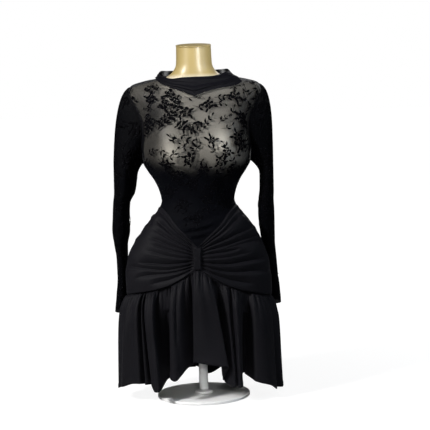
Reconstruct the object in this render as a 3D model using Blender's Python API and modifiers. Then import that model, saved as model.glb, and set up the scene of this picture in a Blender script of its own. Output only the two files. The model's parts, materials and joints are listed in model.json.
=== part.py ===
"""A long-sleeved mini dress in sheer floral mesh, with a ruched hip yoke and a gathered
flounce, on the limbless dress form that it rests on. Metres, +Z up, the front faces -Y.

The dress and the form are both worked out from one figure: a table of level rings, read
at any angle around and any height. Angle 0 is the centre front, 90 the side at +X and
180 the centre back. In names, left is the side at -X and right the side at +X, as seen
from the front.
"""
import math

import bpy
import numpy as np

COLLECTION = "mini_dress_on_dress_form"

# Walls and clearances
CLOTH = 0.0016
BAND = 0.0030
SEAM = 0.0004
FORM_EASE = 0.0060
FORM_CUP_RISE = 0.022

# One row for each level of the figure, at the outside of the cloth:
# height, half width, depth in front, depth behind, squareness, sideways shift
FIGURE = np.array([
    (0.225, 0.182, 0.092, 0.118, 2.20, -0.0060),
    (0.260, 0.195, 0.098, 0.124, 2.20, -0.0050),
    (0.300, 0.202, 0.104, 0.128, 2.20, -0.0040),
    (0.340, 0.202, 0.108, 0.130, 2.20, -0.0050),
    (0.375, 0.199, 0.109, 0.129, 2.20, -0.0060),
    (0.410, 0.190, 0.107, 0.124, 2.15, -0.0055),
    (0.445, 0.173, 0.103, 0.115, 2.10, -0.0030),
    (0.475, 0.154, 0.099, 0.103, 2.10, -0.0010),
    (0.505, 0.132, 0.094, 0.090, 2.05, 0.0),
    (0.530, 0.111, 0.089, 0.080, 2.00, 0.0),
    (0.555, 0.101, 0.087, 0.074, 2.00, 0.0),
    (0.580, 0.106, 0.089, 0.075, 2.00, 0.0),
    (0.610, 0.1185, 0.093, 0.079, 2.05, 0.0),
    (0.640, 0.138, 0.098, 0.084, 2.10, 0.0),
    (0.660, 0.149, 0.101, 0.088, 2.15, 0.0),
    (0.700, 0.158, 0.105, 0.095, 2.20, 0.0),
    (0.750, 0.166, 0.103, 0.101, 2.20, 0.0),
    (0.800, 0.175, 0.095, 0.102, 2.15, 0.0),
    (0.835, 0.183, 0.086, 0.096, 2.05, 0.0),
    (0.856, 0.186, 0.076, 0.082, 2.00, 0.0),
    (0.868, 0.183, 0.069, 0.072, 2.00, 0.0),
    (0.878, 0.172, 0.063, 0.064, 2.00, 0.0),
    (0.885, 0.150, 0.060, 0.060, 2.00, 0.0),
    (0.890, 0.128, 0.058, 0.058, 2.00, 0.0),
    (0.894, 0.104, 0.057, 0.056, 2.00, 0.0),
    (0.902, 0.083, 0.056, 0.054, 2.00, 0.0),
    (0.914, 0.066, 0.055, 0.053, 2.00, 0.0),
    (0.932, 0.056, 0.0545, 0.051, 2.00, 0.0),
    (0.986, 0.054, 0.054, 0.050, 2.00, 0.0),
])

# The two cups of a general figure
CUP_APART = 0.079
CUP_HEIGHT = 0.705
CUP_RISE = 0.026
CUP_WIDTH = 0.048
CUP_TALL = 0.052
CUP_EDGE = 4.0

# Edge between bodice and yoke: angle from the centre front, height
V_EDGE = np.array([
    (0, 0.4310), (9, 0.4595), (23, 0.4890), (41, 0.5170), (69, 0.5367), (90, 0.5400),
    (135, 0.5280), (180, 0.5200),
])
# Edge between yoke and flounce: angle from the centre front, height
HIP_SEAM = np.array([
    (0, 0.3710), (5, 0.3584), (10, 0.3452), (16, 0.3323), (24, 0.3197),
    (36, 0.3082), (51, 0.2997), (70, 0.2920), (90, 0.2870), (180, 0.2870),
])
TILT_DROP = 0.0071

# Angles at which the panels share their points
FRONT_HALF = (0, 2.5, 9, 18, 29, 41, 54, 67, 79, 86.5, 90)
BACK_HALF = (0, 16, 32, 48, 63, 76, 86.5, 90)
CENTRE_CUT = 0.03

# Armholes: heights of the underarm and the shoulder point, bites in degrees
UNDERARM = 0.660
SHOULDER_POINT = 0.8745
BITE_FRONT = 32.0
BITE_BACK = 29.0
ARMHOLE_ROWS = 7
SIDE_ROWS = 6
SHOULDER_ROWS = 3

# Necklines, angle from the middle and height, and the folded band on them
NECKLINE_FRONT = np.array([
    (0, 0.8420), (17, 0.8630), (29, 0.8760), (46, 0.8870), (67, 0.8920), (90, 0.8937),
])
NECKLINE_BACK = np.array([
    (0, 0.8760), (20, 0.8820), (40, 0.8890), (61, 0.8920), (90, 0.8937),
])
COLLAR_HALF_WIDTH = 0.1000
COLLAR_FRONT = 0.0690
COLLAR_BACK = 0.0620
COLLAR_TOP_FRONT = 0.8935
COLLAR_TOP_SIDE = 0.9130
COLLAR_TOP_BACK = 0.9140
COLLAR_ROWS = 3
COLLAR_SWELL = 0.0030

# Pleats of the yoke, drawn into the tab; heights are shares of the yoke at that place:
# share at the tab, share at the side, depth, reach towards the side
PLEATS_LEFT = np.array([
    (0.07, 0.06, 0.0018, 0.55), (0.16, 0.14, 0.0024, 0.90), (0.26, 0.24, 0.0026, 1.10),
    (0.37, 0.35, 0.0032, 1.15), (0.48, 0.46, 0.0022, 0.70), (0.59, 0.57, 0.0026, 0.95),
    (0.70, 0.67, 0.0028, 1.05), (0.81, 0.78, 0.0026, 1.00), (0.92, 0.90, 0.0020, 0.80),
])
PLEATS_RIGHT = np.array([
    (0.08, 0.07, 0.0020, 0.75), (0.18, 0.15, 0.0026, 1.00), (0.29, 0.26, 0.0030, 1.15),
    (0.40, 0.40, 0.0026, 0.95), (0.51, 0.52, 0.0024, 0.70), (0.61, 0.62, 0.0026, 0.90),
    (0.71, 0.72, 0.0028, 1.10), (0.82, 0.82, 0.0026, 1.00), (0.92, 0.92, 0.0020, 0.90),
])
PLEAT_WIDTH = 0.034
PLEAT_SLOPE = 0.36
PLEAT_FADE = 0.25
PLEAT_START = 0.10
EDGE_FLAT = 0.03
ROW_TURN = 0.06
YOKE_BACK_ROWS = 8

# The strip over the middle of the yoke
TAB_SHARE = 0.028
TAB_WIDTH = 0.020
TAB_THICK = 0.0030
TAB_STAND = 0.0009
TAB_CROWN = 0.0006
TAB_GRID = (7, 5)

# Flounce: the ring at its hem, and one row for each ridge and hollow of its waves:
# angle at the seam, angle at the hem, how far it stands out at the hem, hem height
HEM_HALF_WIDTH = 0.2185
HEM_FRONT = 0.1300
HEM_BACK = 0.1520
HEM_POWER = 2.15
HEM_SHIFT = -0.0075
WAVES_FRONT = np.array([
    (-90, -90, 0.009, 0.032), (-87, -87, 0.009, 0.032), (-77, -79, 0.015, 0.044),
    (-63, -60, 0.011, 0.049), (-51, -47, 0.012, 0.059), (-45, -43.5, -0.004, 0.057),
    (-40, -39.5, 0.012, 0.040), (-36, -34, 0.012, 0.043), (-29, -25.5, -0.024, 0.097),
    (-21, -20, 0.009, 0.071), (-14, -14, 0.009, 0.074), (-7, -7, -0.022, 0.108),
    (-3, -3, 0.003, 0.116), (2, 7, 0.009, 0.116), (7, 14, 0.012, 0.110),
    (12, 18.5, -0.010, 0.082), (17, 23.5, 0.010, 0.052), (24, 28, 0.012, 0.048),
    (31, 35, -0.010, 0.077), (40, 43, 0.011, 0.054), (48, 50, -0.003, 0.045),
    (58, 60, 0.014, 0.027), (69, 72, -0.004, 0.025), (80, 81, 0.012, 0.025),
    (87, 87, 0.009, 0.024), (90, 90, 0.009, 0.024),
])
WAVES_BACK = np.array([
    (90, 90, 0.009, 0.024), (93, 93, 0.009, 0.024), (100, 100, -0.006, 0.028),
    (111, 111, 0.013, 0.026), (121, 120, -0.010, 0.038), (131, 132, 0.012, 0.034),
    (141, 142, -0.012, 0.045), (152, 153, 0.013, 0.042), (163, 163, -0.010, 0.055),
    (174, 175, 0.012, 0.030), (185, 185, -0.012, 0.055), (196, 196, 0.013, 0.050),
    (207, 206, -0.010, 0.054), (217, 218, 0.012, 0.044), (227, 227, -0.012, 0.048),
    (238, 238, 0.013, 0.038), (248, 249, -0.008, 0.042), (258, 258, 0.012, 0.036),
    (267, 267, 0.009, 0.032), (270, 270, 0.009, 0.032),
])
FRONT_STEPS = 3
BACK_STEPS = 3
FLOUNCE_ROWS = 8
FLARE_POWER = 6.0
HANG_POWER = 0.9
WAVE_GROWTH = 0.75

# Sleeves: height, outer edge, inner edge, middle in depth, half depth
SLEEVE_LEFT = np.array([
    (0.620, 0.234, 0.168, 0.008, 0.058), (0.580, 0.235, 0.176, 0.012, 0.055),
    (0.550, 0.239, 0.191, 0.016, 0.052), (0.510, 0.242, 0.194, 0.022, 0.050),
    (0.470, 0.245, 0.195, 0.028, 0.048), (0.430, 0.241, 0.203, 0.036, 0.046),
    (0.390, 0.237, 0.204, 0.044, 0.044), (0.340, 0.237, 0.204, 0.054, 0.042),
    (0.290, 0.242, 0.209, 0.064, 0.040), (0.236, 0.249, 0.217, 0.074, 0.038),
])
SLEEVE_RIGHT = np.array([
    (0.620, 0.213, 0.175, 0.008, 0.058), (0.580, 0.213, 0.174, 0.014, 0.056),
    (0.550, 0.212, 0.170, 0.020, 0.053), (0.510, 0.213, 0.168, 0.030, 0.050),
    (0.470, 0.213, 0.171, 0.042, 0.048), (0.430, 0.213, 0.176, 0.056, 0.045),
    (0.390, 0.216, 0.181, 0.069, 0.043), (0.340, 0.221, 0.187, 0.082, 0.041),
    (0.290, 0.227, 0.195, 0.093, 0.039), (0.246, 0.230, 0.198, 0.098, 0.038),
])
CAP_ROWS = 7
TUBE_ROWS = 10
CAP_OUT = (0.120, 0.030)
CAP_FALL = (0.300, 0.050)
CAP_DROP = 0.020

# The dress form and its stand
FORM_BOTTOM = 0.235
NECK_TOP = 0.9810
NECK_CAP_THICK = 0.0030
NECK_CAP_RADIUS = 0.0490
NECK_MIDDLE = -0.002
NECK_SLANT = 8.0
FORM_COLUMNS = 24
FORM_LEVELS = (0.240, 0.275, 0.310, 0.345, 0.380, 0.415, 0.450, 0.485, 0.515, 0.540,
               0.562, 0.590, 0.620, 0.650, 0.680, 0.705, 0.735, 0.775, 0.815, 0.845,
               0.863, 0.874, 0.882, 0.888, 0.893, 0.900, 0.911, 0.926, 0.955, 0.981)
FORM_EDGE = 0.012
POLE_RADIUS = 0.0125
FLANGE_RADIUS = 0.035
FLANGE_THICK = 0.005
BASE_RADIUS = 0.130
BASE_THICK = 0.008
ROUND_STEPS = 24
TOUCH = 0.0003

# Material of each piece: colour, roughness, metallic
FINISHES = {
    "sheer_mesh": ((0.030, 0.027, 0.026), 0.80, 0.0),
    "jersey": ((0.012, 0.011, 0.014), 0.70, 0.0),
    "form_shell": ((0.780, 0.600, 0.330), 0.40, 0.0),
    "white_metal": ((0.850, 0.850, 0.850), 0.45, 0.0),
}


def monotone(xs, ys, at):
    """A smooth curve through the rows of a table that never overshoots them."""
    xs, ys, at = (np.asarray(a, float) for a in (xs, ys, at))
    step = np.diff(xs)
    rise = np.diff(ys) / step
    before, after = rise[:-1], rise[1:]
    same = before * after > 0
    near, far = 2 * step[1:] + step[:-1], step[1:] + 2 * step[:-1]
    blend = near / np.where(same, before, 1) + far / np.where(same, after, 1)
    slope = np.concatenate(([rise[0]], np.where(same, (near + far) / blend, 0), [rise[-1]]))
    row = np.clip(np.searchsorted(xs, at, side="right") - 1, 0, len(step) - 1)
    t = (at - xs[row]) / step[row]
    start = ys[row] * (1 + 2 * t) * (1 - t) ** 2 + slope[row] * step[row] * t * (1 - t) ** 2
    end = ys[row + 1] * t * t * (3 - 2 * t) - slope[row + 1] * step[row] * t * t * (1 - t)
    return start + end


# How far up the figure's side each row lies, measured along the side
CLIMB = np.concatenate(([0], np.cumsum(np.hypot(*np.diff(FIGURE[:, :2], axis=0).T))))
CLIMB_FINE = np.linspace(0, CLIMB[-1], 2000)
HEIGHT_FINE = monotone(CLIMB, FIGURE[:, 0], CLIMB_FINE)


def climb_at(height):
    """The way up the side at which the figure reaches a height."""
    return np.interp(height, HEIGHT_FINE, CLIMB_FINE)


def figure(angle, climb, cup_rise=CUP_RISE):
    """Points of the figure: a superellipse ring at each level, with the two cups."""
    level = [monotone(CLIMB, FIGURE[:, column], climb) for column in range(6)]
    height, half_width, front, back, power, shift = level
    across, ahead = np.sin(np.radians(angle)), np.cos(np.radians(angle))
    x = half_width * np.sign(across) * np.abs(across) ** (2 / power)
    depth = np.where(ahead > 0, front, back)
    y = -depth * np.sign(ahead) * np.abs(ahead) ** (2 / power)
    beside = (np.abs(x) - CUP_APART) / CUP_WIDTH
    above = (height - CUP_HEIGHT) / CUP_TALL
    cups = cup_rise * np.exp(-0.5 * (beside ** 2 + above ** 2)) * np.clip(CUP_EDGE * ahead, 0, 1)
    return np.stack(np.broadcast_arrays(x + shift, y - cups, height), axis=-1)


def normals(grid, closed=False):
    """Outward unit normals of a grid of points, rows upwards and columns round."""
    if closed:
        wrapped = np.concatenate((grid[:, -1:], grid, grid[:, :1]), axis=1)
        along = np.gradient(wrapped, axis=1)[:, 1:-1]
    else:
        along = np.gradient(grid, axis=1)
    normal = np.cross(along, np.gradient(grid, axis=0))
    return normal / np.linalg.norm(normal, axis=-1, keepdims=True)


def from_front(angle):
    """The angle from the centre front, the same to the left and to the right."""
    return np.abs((np.asarray(angle, float) + 180) % 360 - 180)


def panel_angles():
    """The angles round the dress at which neighbouring panels share points."""
    half, back = np.array(FRONT_HALF, float), np.array(BACK_HALF, float)
    front = np.concatenate((-half[:0:-1], half))
    rear = 180 + np.concatenate((-back[:0:-1], back))
    return front, rear


FRONT_ANGLES, BACK_ANGLES = panel_angles()
SHARED_ANGLES = np.concatenate((FRONT_ANGLES, BACK_ANGLES[1:]))


def tilt(angle):
    """The skirt hangs a little lower on one side."""
    return -TILT_DROP * np.sin(np.radians(angle))


def seam_climb(angle):
    """The way up to the hip seam, straight between the shared points."""
    height = monotone(HIP_SEAM[:, 0], HIP_SEAM[:, 1], from_front(SHARED_ANGLES))
    return np.interp(angle, SHARED_ANGLES, climb_at(height + tilt(SHARED_ANGLES)))


def edge_climb(angle):
    """The way up to the edge between yoke and bodice."""
    return climb_at(monotone(V_EDGE[:, 0], V_EDGE[:, 1], from_front(angle)))


def part_sides(points, rear):
    """Keeps the front pieces and the back pieces half a seam each side of Y = 0."""
    if rear:
        points[..., 1] = np.maximum(points[..., 1], SEAM / 2)
    else:
        points[..., 1] = np.minimum(points[..., 1], -SEAM / 2)
    return points


def armhole_share():
    """Shares of the armhole's height at its points, closer together at both ends."""
    return (1 - np.cos(np.linspace(0, math.pi, ARMHOLE_ROWS + 1))) / 2


def bodice(rear):
    """One bodice panel: rows from the yoke's edge to the neckline."""
    angles = BACK_ANGLES - 180 if rear else FRONT_ANGLES
    middle, bite = (180, BITE_BACK) if rear else (0, BITE_FRONT)
    neckline = NECKLINE_BACK if rear else NECKLINE_FRONT
    side_start = edge_climb(90) + SEAM / 2
    underarm, point = climb_at(UNDERARM), climb_at(SHOULDER_POINT)
    top = climb_at(monotone(neckline[:, 0], neckline[:, 1], np.abs(angles)))
    share = armhole_share()
    edge = np.concatenate((
        np.linspace(side_start, underarm, SIDE_ROWS + 1)[:-1],
        underarm + share * (point - underarm),
        np.linspace(point, top[0], SHOULDER_ROWS + 1)[1:],
    ))
    bites = np.zeros(len(edge))
    bites[SIDE_ROWS:SIDE_ROWS + len(share)] = bite * np.sin(math.pi * share)
    part = angles / 90
    way = (edge - edge[0]) / (edge[-1] - edge[0])
    bottom = edge_climb(angles + middle) + SEAM / 2
    climb = bottom + way[:, None] * (top - bottom)
    turned = middle + part * (90 - bites[:, None])
    return part_sides(figure(turned, climb), rear)


def pleat_relief(out, share, pleats):
    """Soft troughs that fan out from the tab; out runs from 0 at the tab to 1."""
    relief = np.zeros(np.broadcast(out, share).shape)
    for at_tab, at_side, depth, reach in pleats:
        line = at_tab + (at_side - at_tab) * out
        fade = np.clip((reach - out) / PLEAT_FADE, 0, 1)
        fade = fade * np.clip((out - TAB_SHARE) / PLEAT_START, 0, 1)
        relief = relief - depth * fade * np.exp(-((share - line) / PLEAT_WIDTH) ** 2)
    return relief * np.clip(np.minimum(share, 1 - share) / EDGE_FLAT, 0, 1)


def yoke_rows(pleats):
    """Shares of the yoke's height: each pleat's line and the tops of its two slopes."""
    lines = pleats[:, 0]
    slope = PLEAT_SLOPE * np.diff(lines).min()
    inner = np.sort(np.concatenate((lines - slope, lines, lines + slope)))
    return np.concatenate(([0], inner, [1]))


def yoke_front(sign, pleats):
    """Half of the front yoke, from the tab to one side, its rows along the pleats."""
    angles = np.array(FRONT_HALF, float)
    angles[0] = CENTRE_CUT
    out = angles / 90
    share = yoke_rows(pleats)[:, None]
    lines = pleats[:, 0]
    shift = monotone(lines, pleats[:, 1] - lines, np.clip(share, lines[0], lines[-1]))
    share = share + shift * out * np.clip(np.minimum(share, 1 - share) / ROW_TURN, 0, 1)
    bottom = seam_climb(sign * angles) + SEAM / 2
    top = edge_climb(angles) - SEAM / 2
    climb = bottom + share * (top - bottom)
    if sign < 0:
        angles, out, climb, share = -angles[::-1], out[::-1], climb[:, ::-1], share[:, ::-1]
    points = figure(angles, climb)
    relief = pleat_relief(out, share, pleats)
    return part_sides(points + normals(points) * relief[..., None], False)


def yoke_back():
    """The back yoke, plain and close to the figure."""
    share = np.linspace(0, 1, YOKE_BACK_ROWS + 1)[:, None]
    bottom, top = seam_climb(BACK_ANGLES) + SEAM / 2, edge_climb(BACK_ANGLES) - SEAM / 2
    return part_sides(figure(BACK_ANGLES, bottom + share * (top - bottom)), True)


def centre_tab():
    """The narrow strip that gathers the yoke, moved out from the yoke's middle."""
    top = edge_climb(0) - SEAM
    bottom = seam_climb(0) + SEAM
    climb = np.linspace(bottom, top, TAB_GRID[0])[:, None]
    across = np.linspace(-1, 1, TAB_GRID[1])
    points = figure(np.zeros(TAB_GRID), climb)
    points[..., 0] += across * TAB_WIDTH / 2
    points[..., 1] -= TAB_THICK + TAB_STAND + TAB_CROWN * (1 - across ** 2)
    return points


def flounce(waves, steps, rear):
    """A gathered flounce: the hip seam flares to the hem's ring and the waves grow."""
    count = len(waves)
    row = np.linspace(0, count - 1, (count - 1) * steps + 1)
    seam, hem, stand, low = (monotone(np.arange(count), waves[:, c], row) for c in range(4))
    down = np.linspace(1, 0, FLOUNCE_ROWS + 1)[:, None]
    angle = seam + (hem - seam) * down ** HANG_POWER
    across, ahead = np.sin(np.radians(angle)), np.cos(np.radians(angle))
    start = figure(angle, seam_climb(seam) - SEAM)
    reach = HEM_BACK if rear else HEM_FRONT
    x = HEM_HALF_WIDTH * np.sign(across) * np.abs(across) ** (2 / HEM_POWER) + HEM_SHIFT
    y = -reach * np.sign(ahead) * np.abs(ahead) ** (2 / HEM_POWER)
    flare = 1 - (1 - down) ** FLARE_POWER
    out = np.stack((across / HEM_HALF_WIDTH, -ahead / reach), axis=-1)
    out = out / np.linalg.norm(out, axis=-1, keepdims=True)
    grow = (stand * down ** WAVE_GROWTH)[..., None]
    flat = start[..., :2] + flare[..., None] * (np.stack((x, y), -1) - start[..., :2])
    top = start[..., 2]
    height = top + (low - top) * down
    points = np.concatenate((flat + out * grow, height[..., None]), axis=-1)
    return part_sides(points, rear)


def armhole_ring(side):
    """The armhole's points: from the shoulder point, down the front, up the back."""
    front, rear = bodice(False), bodice(True)
    rows = slice(SIDE_ROWS, SIDE_ROWS + ARMHOLE_ROWS + 1)
    fore = front[rows, -1 if side > 0 else 0][::-1]
    aft = rear[rows, 0 if side > 0 else -1]
    fore[0, 1] = aft[0, 1] = fore[-1, 1] = 0
    ring = np.concatenate((fore, aft[1:-1]))
    centre = ring.mean(axis=0)
    inward = centre - ring
    return ring + 1.5 * SEAM * inward / np.linalg.norm(inward, axis=1, keepdims=True)


def sleeve(side, table):
    """A sleeve: a cap from the armhole to the first ring, then a tube to the wrist."""
    start = armhole_ring(side)
    turn = np.linspace(0, 2 * math.pi, len(start), endpoint=False)
    under = (1 - np.cos(turn)) / 2

    def ring(height):
        level = [monotone(-table[:, 0], table[:, c], -height) for c in range(1, 5)]
        outer, inner, middle, half = (value[..., None] for value in level)
        x = side * ((outer + inner) / 2 + (outer - inner) / 2 * np.cos(turn))
        y = middle - half * np.sin(turn)
        return np.stack(np.broadcast_arrays(x, y, height[..., None]), axis=-1)

    t = np.linspace(0, 1, CAP_ROWS + 1)[:, None, None]
    end = ring(table[:1, 0])[0]
    leave = np.zeros_like(start)
    leave[:, 0] = side * (CAP_OUT[0] + (CAP_OUT[1] - CAP_OUT[0]) * under)
    leave[:, 2] = -CAP_DROP
    arrive = np.zeros_like(start)
    arrive[:, 2] = -(CAP_FALL[0] + (CAP_FALL[1] - CAP_FALL[0]) * under)
    cap = (start * (1 + 2 * t) * (1 - t) ** 2 + leave * t * (1 - t) ** 2
           + end * t * t * (3 - 2 * t) - arrive * t * t * (1 - t))
    tube = ring(np.linspace(table[0, 0], table[-1, 0], TUBE_ROWS + 1)[1:])
    grid = np.concatenate((cap, tube))
    return grid if side > 0 else grid[:, ::-1]


def collar():
    """The folded band: from the necklines up to a level, slightly closer ring."""
    front, rear = bodice(False)[-1], bodice(True)[-1]
    base = np.concatenate((front[:-1], rear[:-1]))
    base[0, 1] = base[len(front) - 1, 1] = 0
    base[:, 2] += SEAM
    turn = np.arctan2(base[:, 0] / COLLAR_HALF_WIDTH, -base[:, 1] / COLLAR_FRONT)
    across, ahead = np.sin(turn), np.cos(turn)
    reach = np.where(ahead > 0, COLLAR_FRONT, COLLAR_BACK)
    middle = np.where(ahead > 0, COLLAR_TOP_FRONT, COLLAR_TOP_BACK)
    height = middle + (COLLAR_TOP_SIDE - middle) * np.abs(across) ** 4
    top = np.stack((COLLAR_HALF_WIDTH * across, -reach * ahead, height), axis=-1)
    up = np.linspace(0, 1, COLLAR_ROWS + 1)[:, None, None]
    swell = COLLAR_SWELL * np.sin(math.pi * up)
    out = np.stack((across, -ahead, 0 * turn), axis=-1)
    return base + up * (top - base) + swell * out


def material(finish):
    """A plain finish from its colour, roughness and metallic value."""
    made = bpy.data.materials.get(finish) or bpy.data.materials.new(finish)
    colour, roughness, metallic = FINISHES[finish]
    made.use_nodes = True
    shader = made.node_tree.nodes["Principled BSDF"]
    shader.inputs["Base Color"].default_value = (*colour, 1)
    shader.inputs["Roughness"].default_value = roughness
    shader.inputs["Metallic"].default_value = metallic
    return made


def add_mesh(name, points, faces, finish):
    """A named mesh object in the dress's collection."""
    mesh = bpy.data.meshes.new(name)
    mesh.from_pydata([tuple(point) for point in points], [], faces)
    mesh.update()
    mesh.shade_smooth()
    made = bpy.data.objects.new(name, mesh)
    bpy.data.collections[COLLECTION].objects.link(made)
    made.data.materials.append(material(finish))
    return made


def grid_faces(rows, columns, closed):
    """Four-sided faces over a grid, turned outwards."""
    last = columns if closed else columns - 1
    return [(r * columns + c, r * columns + (c + 1) % columns,
             (r + 1) * columns + (c + 1) % columns, (r + 1) * columns + c)
            for r in range(rows - 1) for c in range(last)]


def add_cloth(name, grid, finish, thick=CLOTH, closed=False):
    """A piece of cloth: an open surface with its thickness turned inwards."""
    rows, columns = grid.shape[:2]
    made = add_mesh(name, grid.reshape(-1, 3), grid_faces(rows, columns, closed), finish)
    wall = made.modifiers.new("wall", "SOLIDIFY")
    wall.thickness = thick
    wall.offset = -1
    return made


def add_form():
    """The form: the figure moved in by its ease, closed at the neck and the bottom."""
    angle = np.linspace(0, 360, FORM_COLUMNS, endpoint=False)
    climb = climb_at(np.array(FORM_LEVELS))[:, None]
    grid = figure(angle, climb, FORM_CUP_RISE)
    grid = grid - FORM_EASE * normals(grid, closed=True)
    slope = math.tan(math.radians(NECK_SLANT))
    grid[-1, :, 2] = NECK_TOP + slope * (grid[-1, :, 1] - NECK_MIDDLE)
    foot = grid[0].copy()
    middle = foot.mean(axis=0)
    size = np.linalg.norm((foot - middle)[:, :2], axis=1, keepdims=True)
    foot += (middle - foot) * FORM_EDGE / size
    foot[:, 2] = FORM_BOTTOM
    grid = np.concatenate((foot[None], grid))
    rows = len(grid)
    faces = grid_faces(rows, FORM_COLUMNS, True)
    faces.append(tuple(range(FORM_COLUMNS))[::-1])
    faces.append(tuple((rows - 1) * FORM_COLUMNS + c for c in range(FORM_COLUMNS)))
    return add_mesh("form_torso", grid.reshape(-1, 3), faces, "form_shell")


def add_turned(name, profile, finish):
    """A turned solid from a profile of radius and height, top to bottom."""
    points = [(radius, 0, height) for radius, height in profile]
    edges = [(i, i + 1) for i in range(len(points) - 1)]
    mesh = bpy.data.meshes.new(name)
    mesh.from_pydata(points, edges, [])
    made = bpy.data.objects.new(name, mesh)
    bpy.data.collections[COLLECTION].objects.link(made)
    made.data.materials.append(material(finish))
    turn = made.modifiers.new("turned", "SCREW")
    turn.steps = turn.render_steps = ROUND_STEPS
    turn.use_merge_vertices = True
    turn.merge_threshold = 0.00005
    return made


def add_stand():
    """A round base plate and a pole whose flange meets the form's flat bottom."""
    top = FORM_BOTTOM - TOUCH
    foot = BASE_THICK + TOUCH
    add_turned("stand_pole", [
        (0, top), (FLANGE_RADIUS, top), (FLANGE_RADIUS, top - FLANGE_THICK),
        (POLE_RADIUS, top - 3 * FLANGE_THICK), (POLE_RADIUS, foot + 2 * FLANGE_THICK),
        (2 * POLE_RADIUS, foot + FLANGE_THICK), (2 * POLE_RADIUS, foot), (0, foot),
    ], "white_metal")
    edge = BASE_THICK / 4
    add_turned("stand_base", [
        (0, BASE_THICK), (BASE_RADIUS - 2 * edge, BASE_THICK),
        (BASE_RADIUS, BASE_THICK - edge), (BASE_RADIUS, edge / 2),
        (BASE_RADIUS - edge / 2, 0), (0, 0),
    ], "white_metal")


def add_neck_cap():
    """The thin plate on the form's neck, which is cut at a slant."""
    high = TOUCH + NECK_CAP_THICK
    edge = NECK_CAP_THICK / 3
    cap = add_turned("form_neck_cap", [
        (0, high), (NECK_CAP_RADIUS - edge, high), (NECK_CAP_RADIUS, high - edge),
        (NECK_CAP_RADIUS, TOUCH), (0, TOUCH),
    ], "form_shell")
    cap.location = (0, NECK_MIDDLE, NECK_TOP)
    cap.rotation_euler = (math.radians(NECK_SLANT), 0, 0)


def clear_scene():
    """Removes what the file holds and makes the dress's own collection."""
    for made in list(bpy.data.objects):
        bpy.data.objects.remove(made, do_unlink=True)
    group = bpy.data.collections.new(COLLECTION)
    bpy.context.scene.collection.children.link(group)


def main():
    clear_scene()
    add_form()
    add_neck_cap()
    add_stand()
    add_cloth("bodice_front", bodice(False), "sheer_mesh")
    add_cloth("bodice_back", bodice(True), "sheer_mesh")
    add_cloth("sleeve_left", sleeve(-1, SLEEVE_LEFT), "sheer_mesh", closed=True)
    add_cloth("sleeve_right", sleeve(1, SLEEVE_RIGHT), "sheer_mesh", closed=True)
    add_cloth("collar", collar(), "jersey", BAND, closed=True)
    add_cloth("yoke_front_left", yoke_front(-1, PLEATS_LEFT), "jersey")
    add_cloth("yoke_front_right", yoke_front(1, PLEATS_RIGHT), "jersey")
    add_cloth("yoke_back", yoke_back(), "jersey")
    add_cloth("centre_tab", centre_tab(), "jersey", TAB_THICK)
    add_cloth("flounce_front", flounce(WAVES_FRONT, FRONT_STEPS, False), "jersey")
    add_cloth("flounce_back", flounce(WAVES_BACK, BACK_STEPS, True), "jersey")


main()
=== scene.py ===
# %% [markdown]
# # A black mini dress on a dress form
# This lesson dresses a imported model in Blender. The model's solids are plain and sturdy; here
# each of them is replaced by a finer surface with the cloth, the folds and the finish of the
# real thing. Everything stays in metres, with +Z up and the front towards -Y.
# The frame is loaded first.

# %% Load the frame
import json
import math

import bpy
import numpy as np
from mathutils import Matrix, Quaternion, Vector

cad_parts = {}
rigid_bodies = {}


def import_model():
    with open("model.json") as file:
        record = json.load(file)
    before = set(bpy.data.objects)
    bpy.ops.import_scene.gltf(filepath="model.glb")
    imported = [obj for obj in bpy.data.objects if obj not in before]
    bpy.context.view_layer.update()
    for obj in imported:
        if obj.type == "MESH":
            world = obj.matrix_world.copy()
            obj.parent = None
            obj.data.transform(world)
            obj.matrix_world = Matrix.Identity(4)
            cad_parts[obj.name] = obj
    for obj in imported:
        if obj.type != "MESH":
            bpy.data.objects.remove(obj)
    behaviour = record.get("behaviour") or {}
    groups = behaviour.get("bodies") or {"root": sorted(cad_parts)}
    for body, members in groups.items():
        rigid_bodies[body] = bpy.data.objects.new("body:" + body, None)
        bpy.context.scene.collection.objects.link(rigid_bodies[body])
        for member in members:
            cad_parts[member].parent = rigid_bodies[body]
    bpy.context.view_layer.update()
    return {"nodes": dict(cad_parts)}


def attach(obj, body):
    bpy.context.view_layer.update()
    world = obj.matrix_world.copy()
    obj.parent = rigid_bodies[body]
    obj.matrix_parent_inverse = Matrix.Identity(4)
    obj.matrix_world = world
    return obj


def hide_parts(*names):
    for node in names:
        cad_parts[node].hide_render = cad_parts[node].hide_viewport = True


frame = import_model()
print("nodes:", sorted(frame["nodes"]))

# %% [markdown]
# ## The camera
# A long lens from a few metres away keeps the dress free of distortion. The camera stands a
# little above the middle of the dress and leans a little, so that the dress leans to the left
# in the picture. The lens follows from the width that the picture spans at the dress.

# %% Camera
PICTURE_WIDTH = 1.204
LOOK_AT = Vector((0.046, 0.0, 0.510))
CAMERA_AT = Vector((0.046, -3.5, 0.800))
LEAN = math.radians(1.7)
SENSOR_WIDTH = 36.0


def set_up(name, data, place, turn):
    """An object that carries a camera or a lamp, at a place and turned by a quaternion."""
    made = bpy.data.objects.new(name, data)
    made.location = place
    made.rotation_mode = "QUATERNION"
    made.rotation_quaternion = turn
    bpy.context.scene.collection.objects.link(made)
    return made


def place_camera():
    """Points the camera from CAMERA_AT to LOOK_AT, then turns it about its own axis."""
    sight = LOOK_AT - CAMERA_AT
    data = bpy.data.cameras.new("camera")
    data.sensor_width = SENSOR_WIDTH
    data.lens = SENSOR_WIDTH * sight.length / PICTURE_WIDTH
    turn = sight.to_track_quat("-Z", "Y") @ Quaternion((0.0, 0.0, 1.0), -LEAN)
    bpy.context.scene.camera = set_up("camera", data, CAMERA_AT, turn)
    return data


print("lens:", round(place_camera().lens, 1), "mm")

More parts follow.
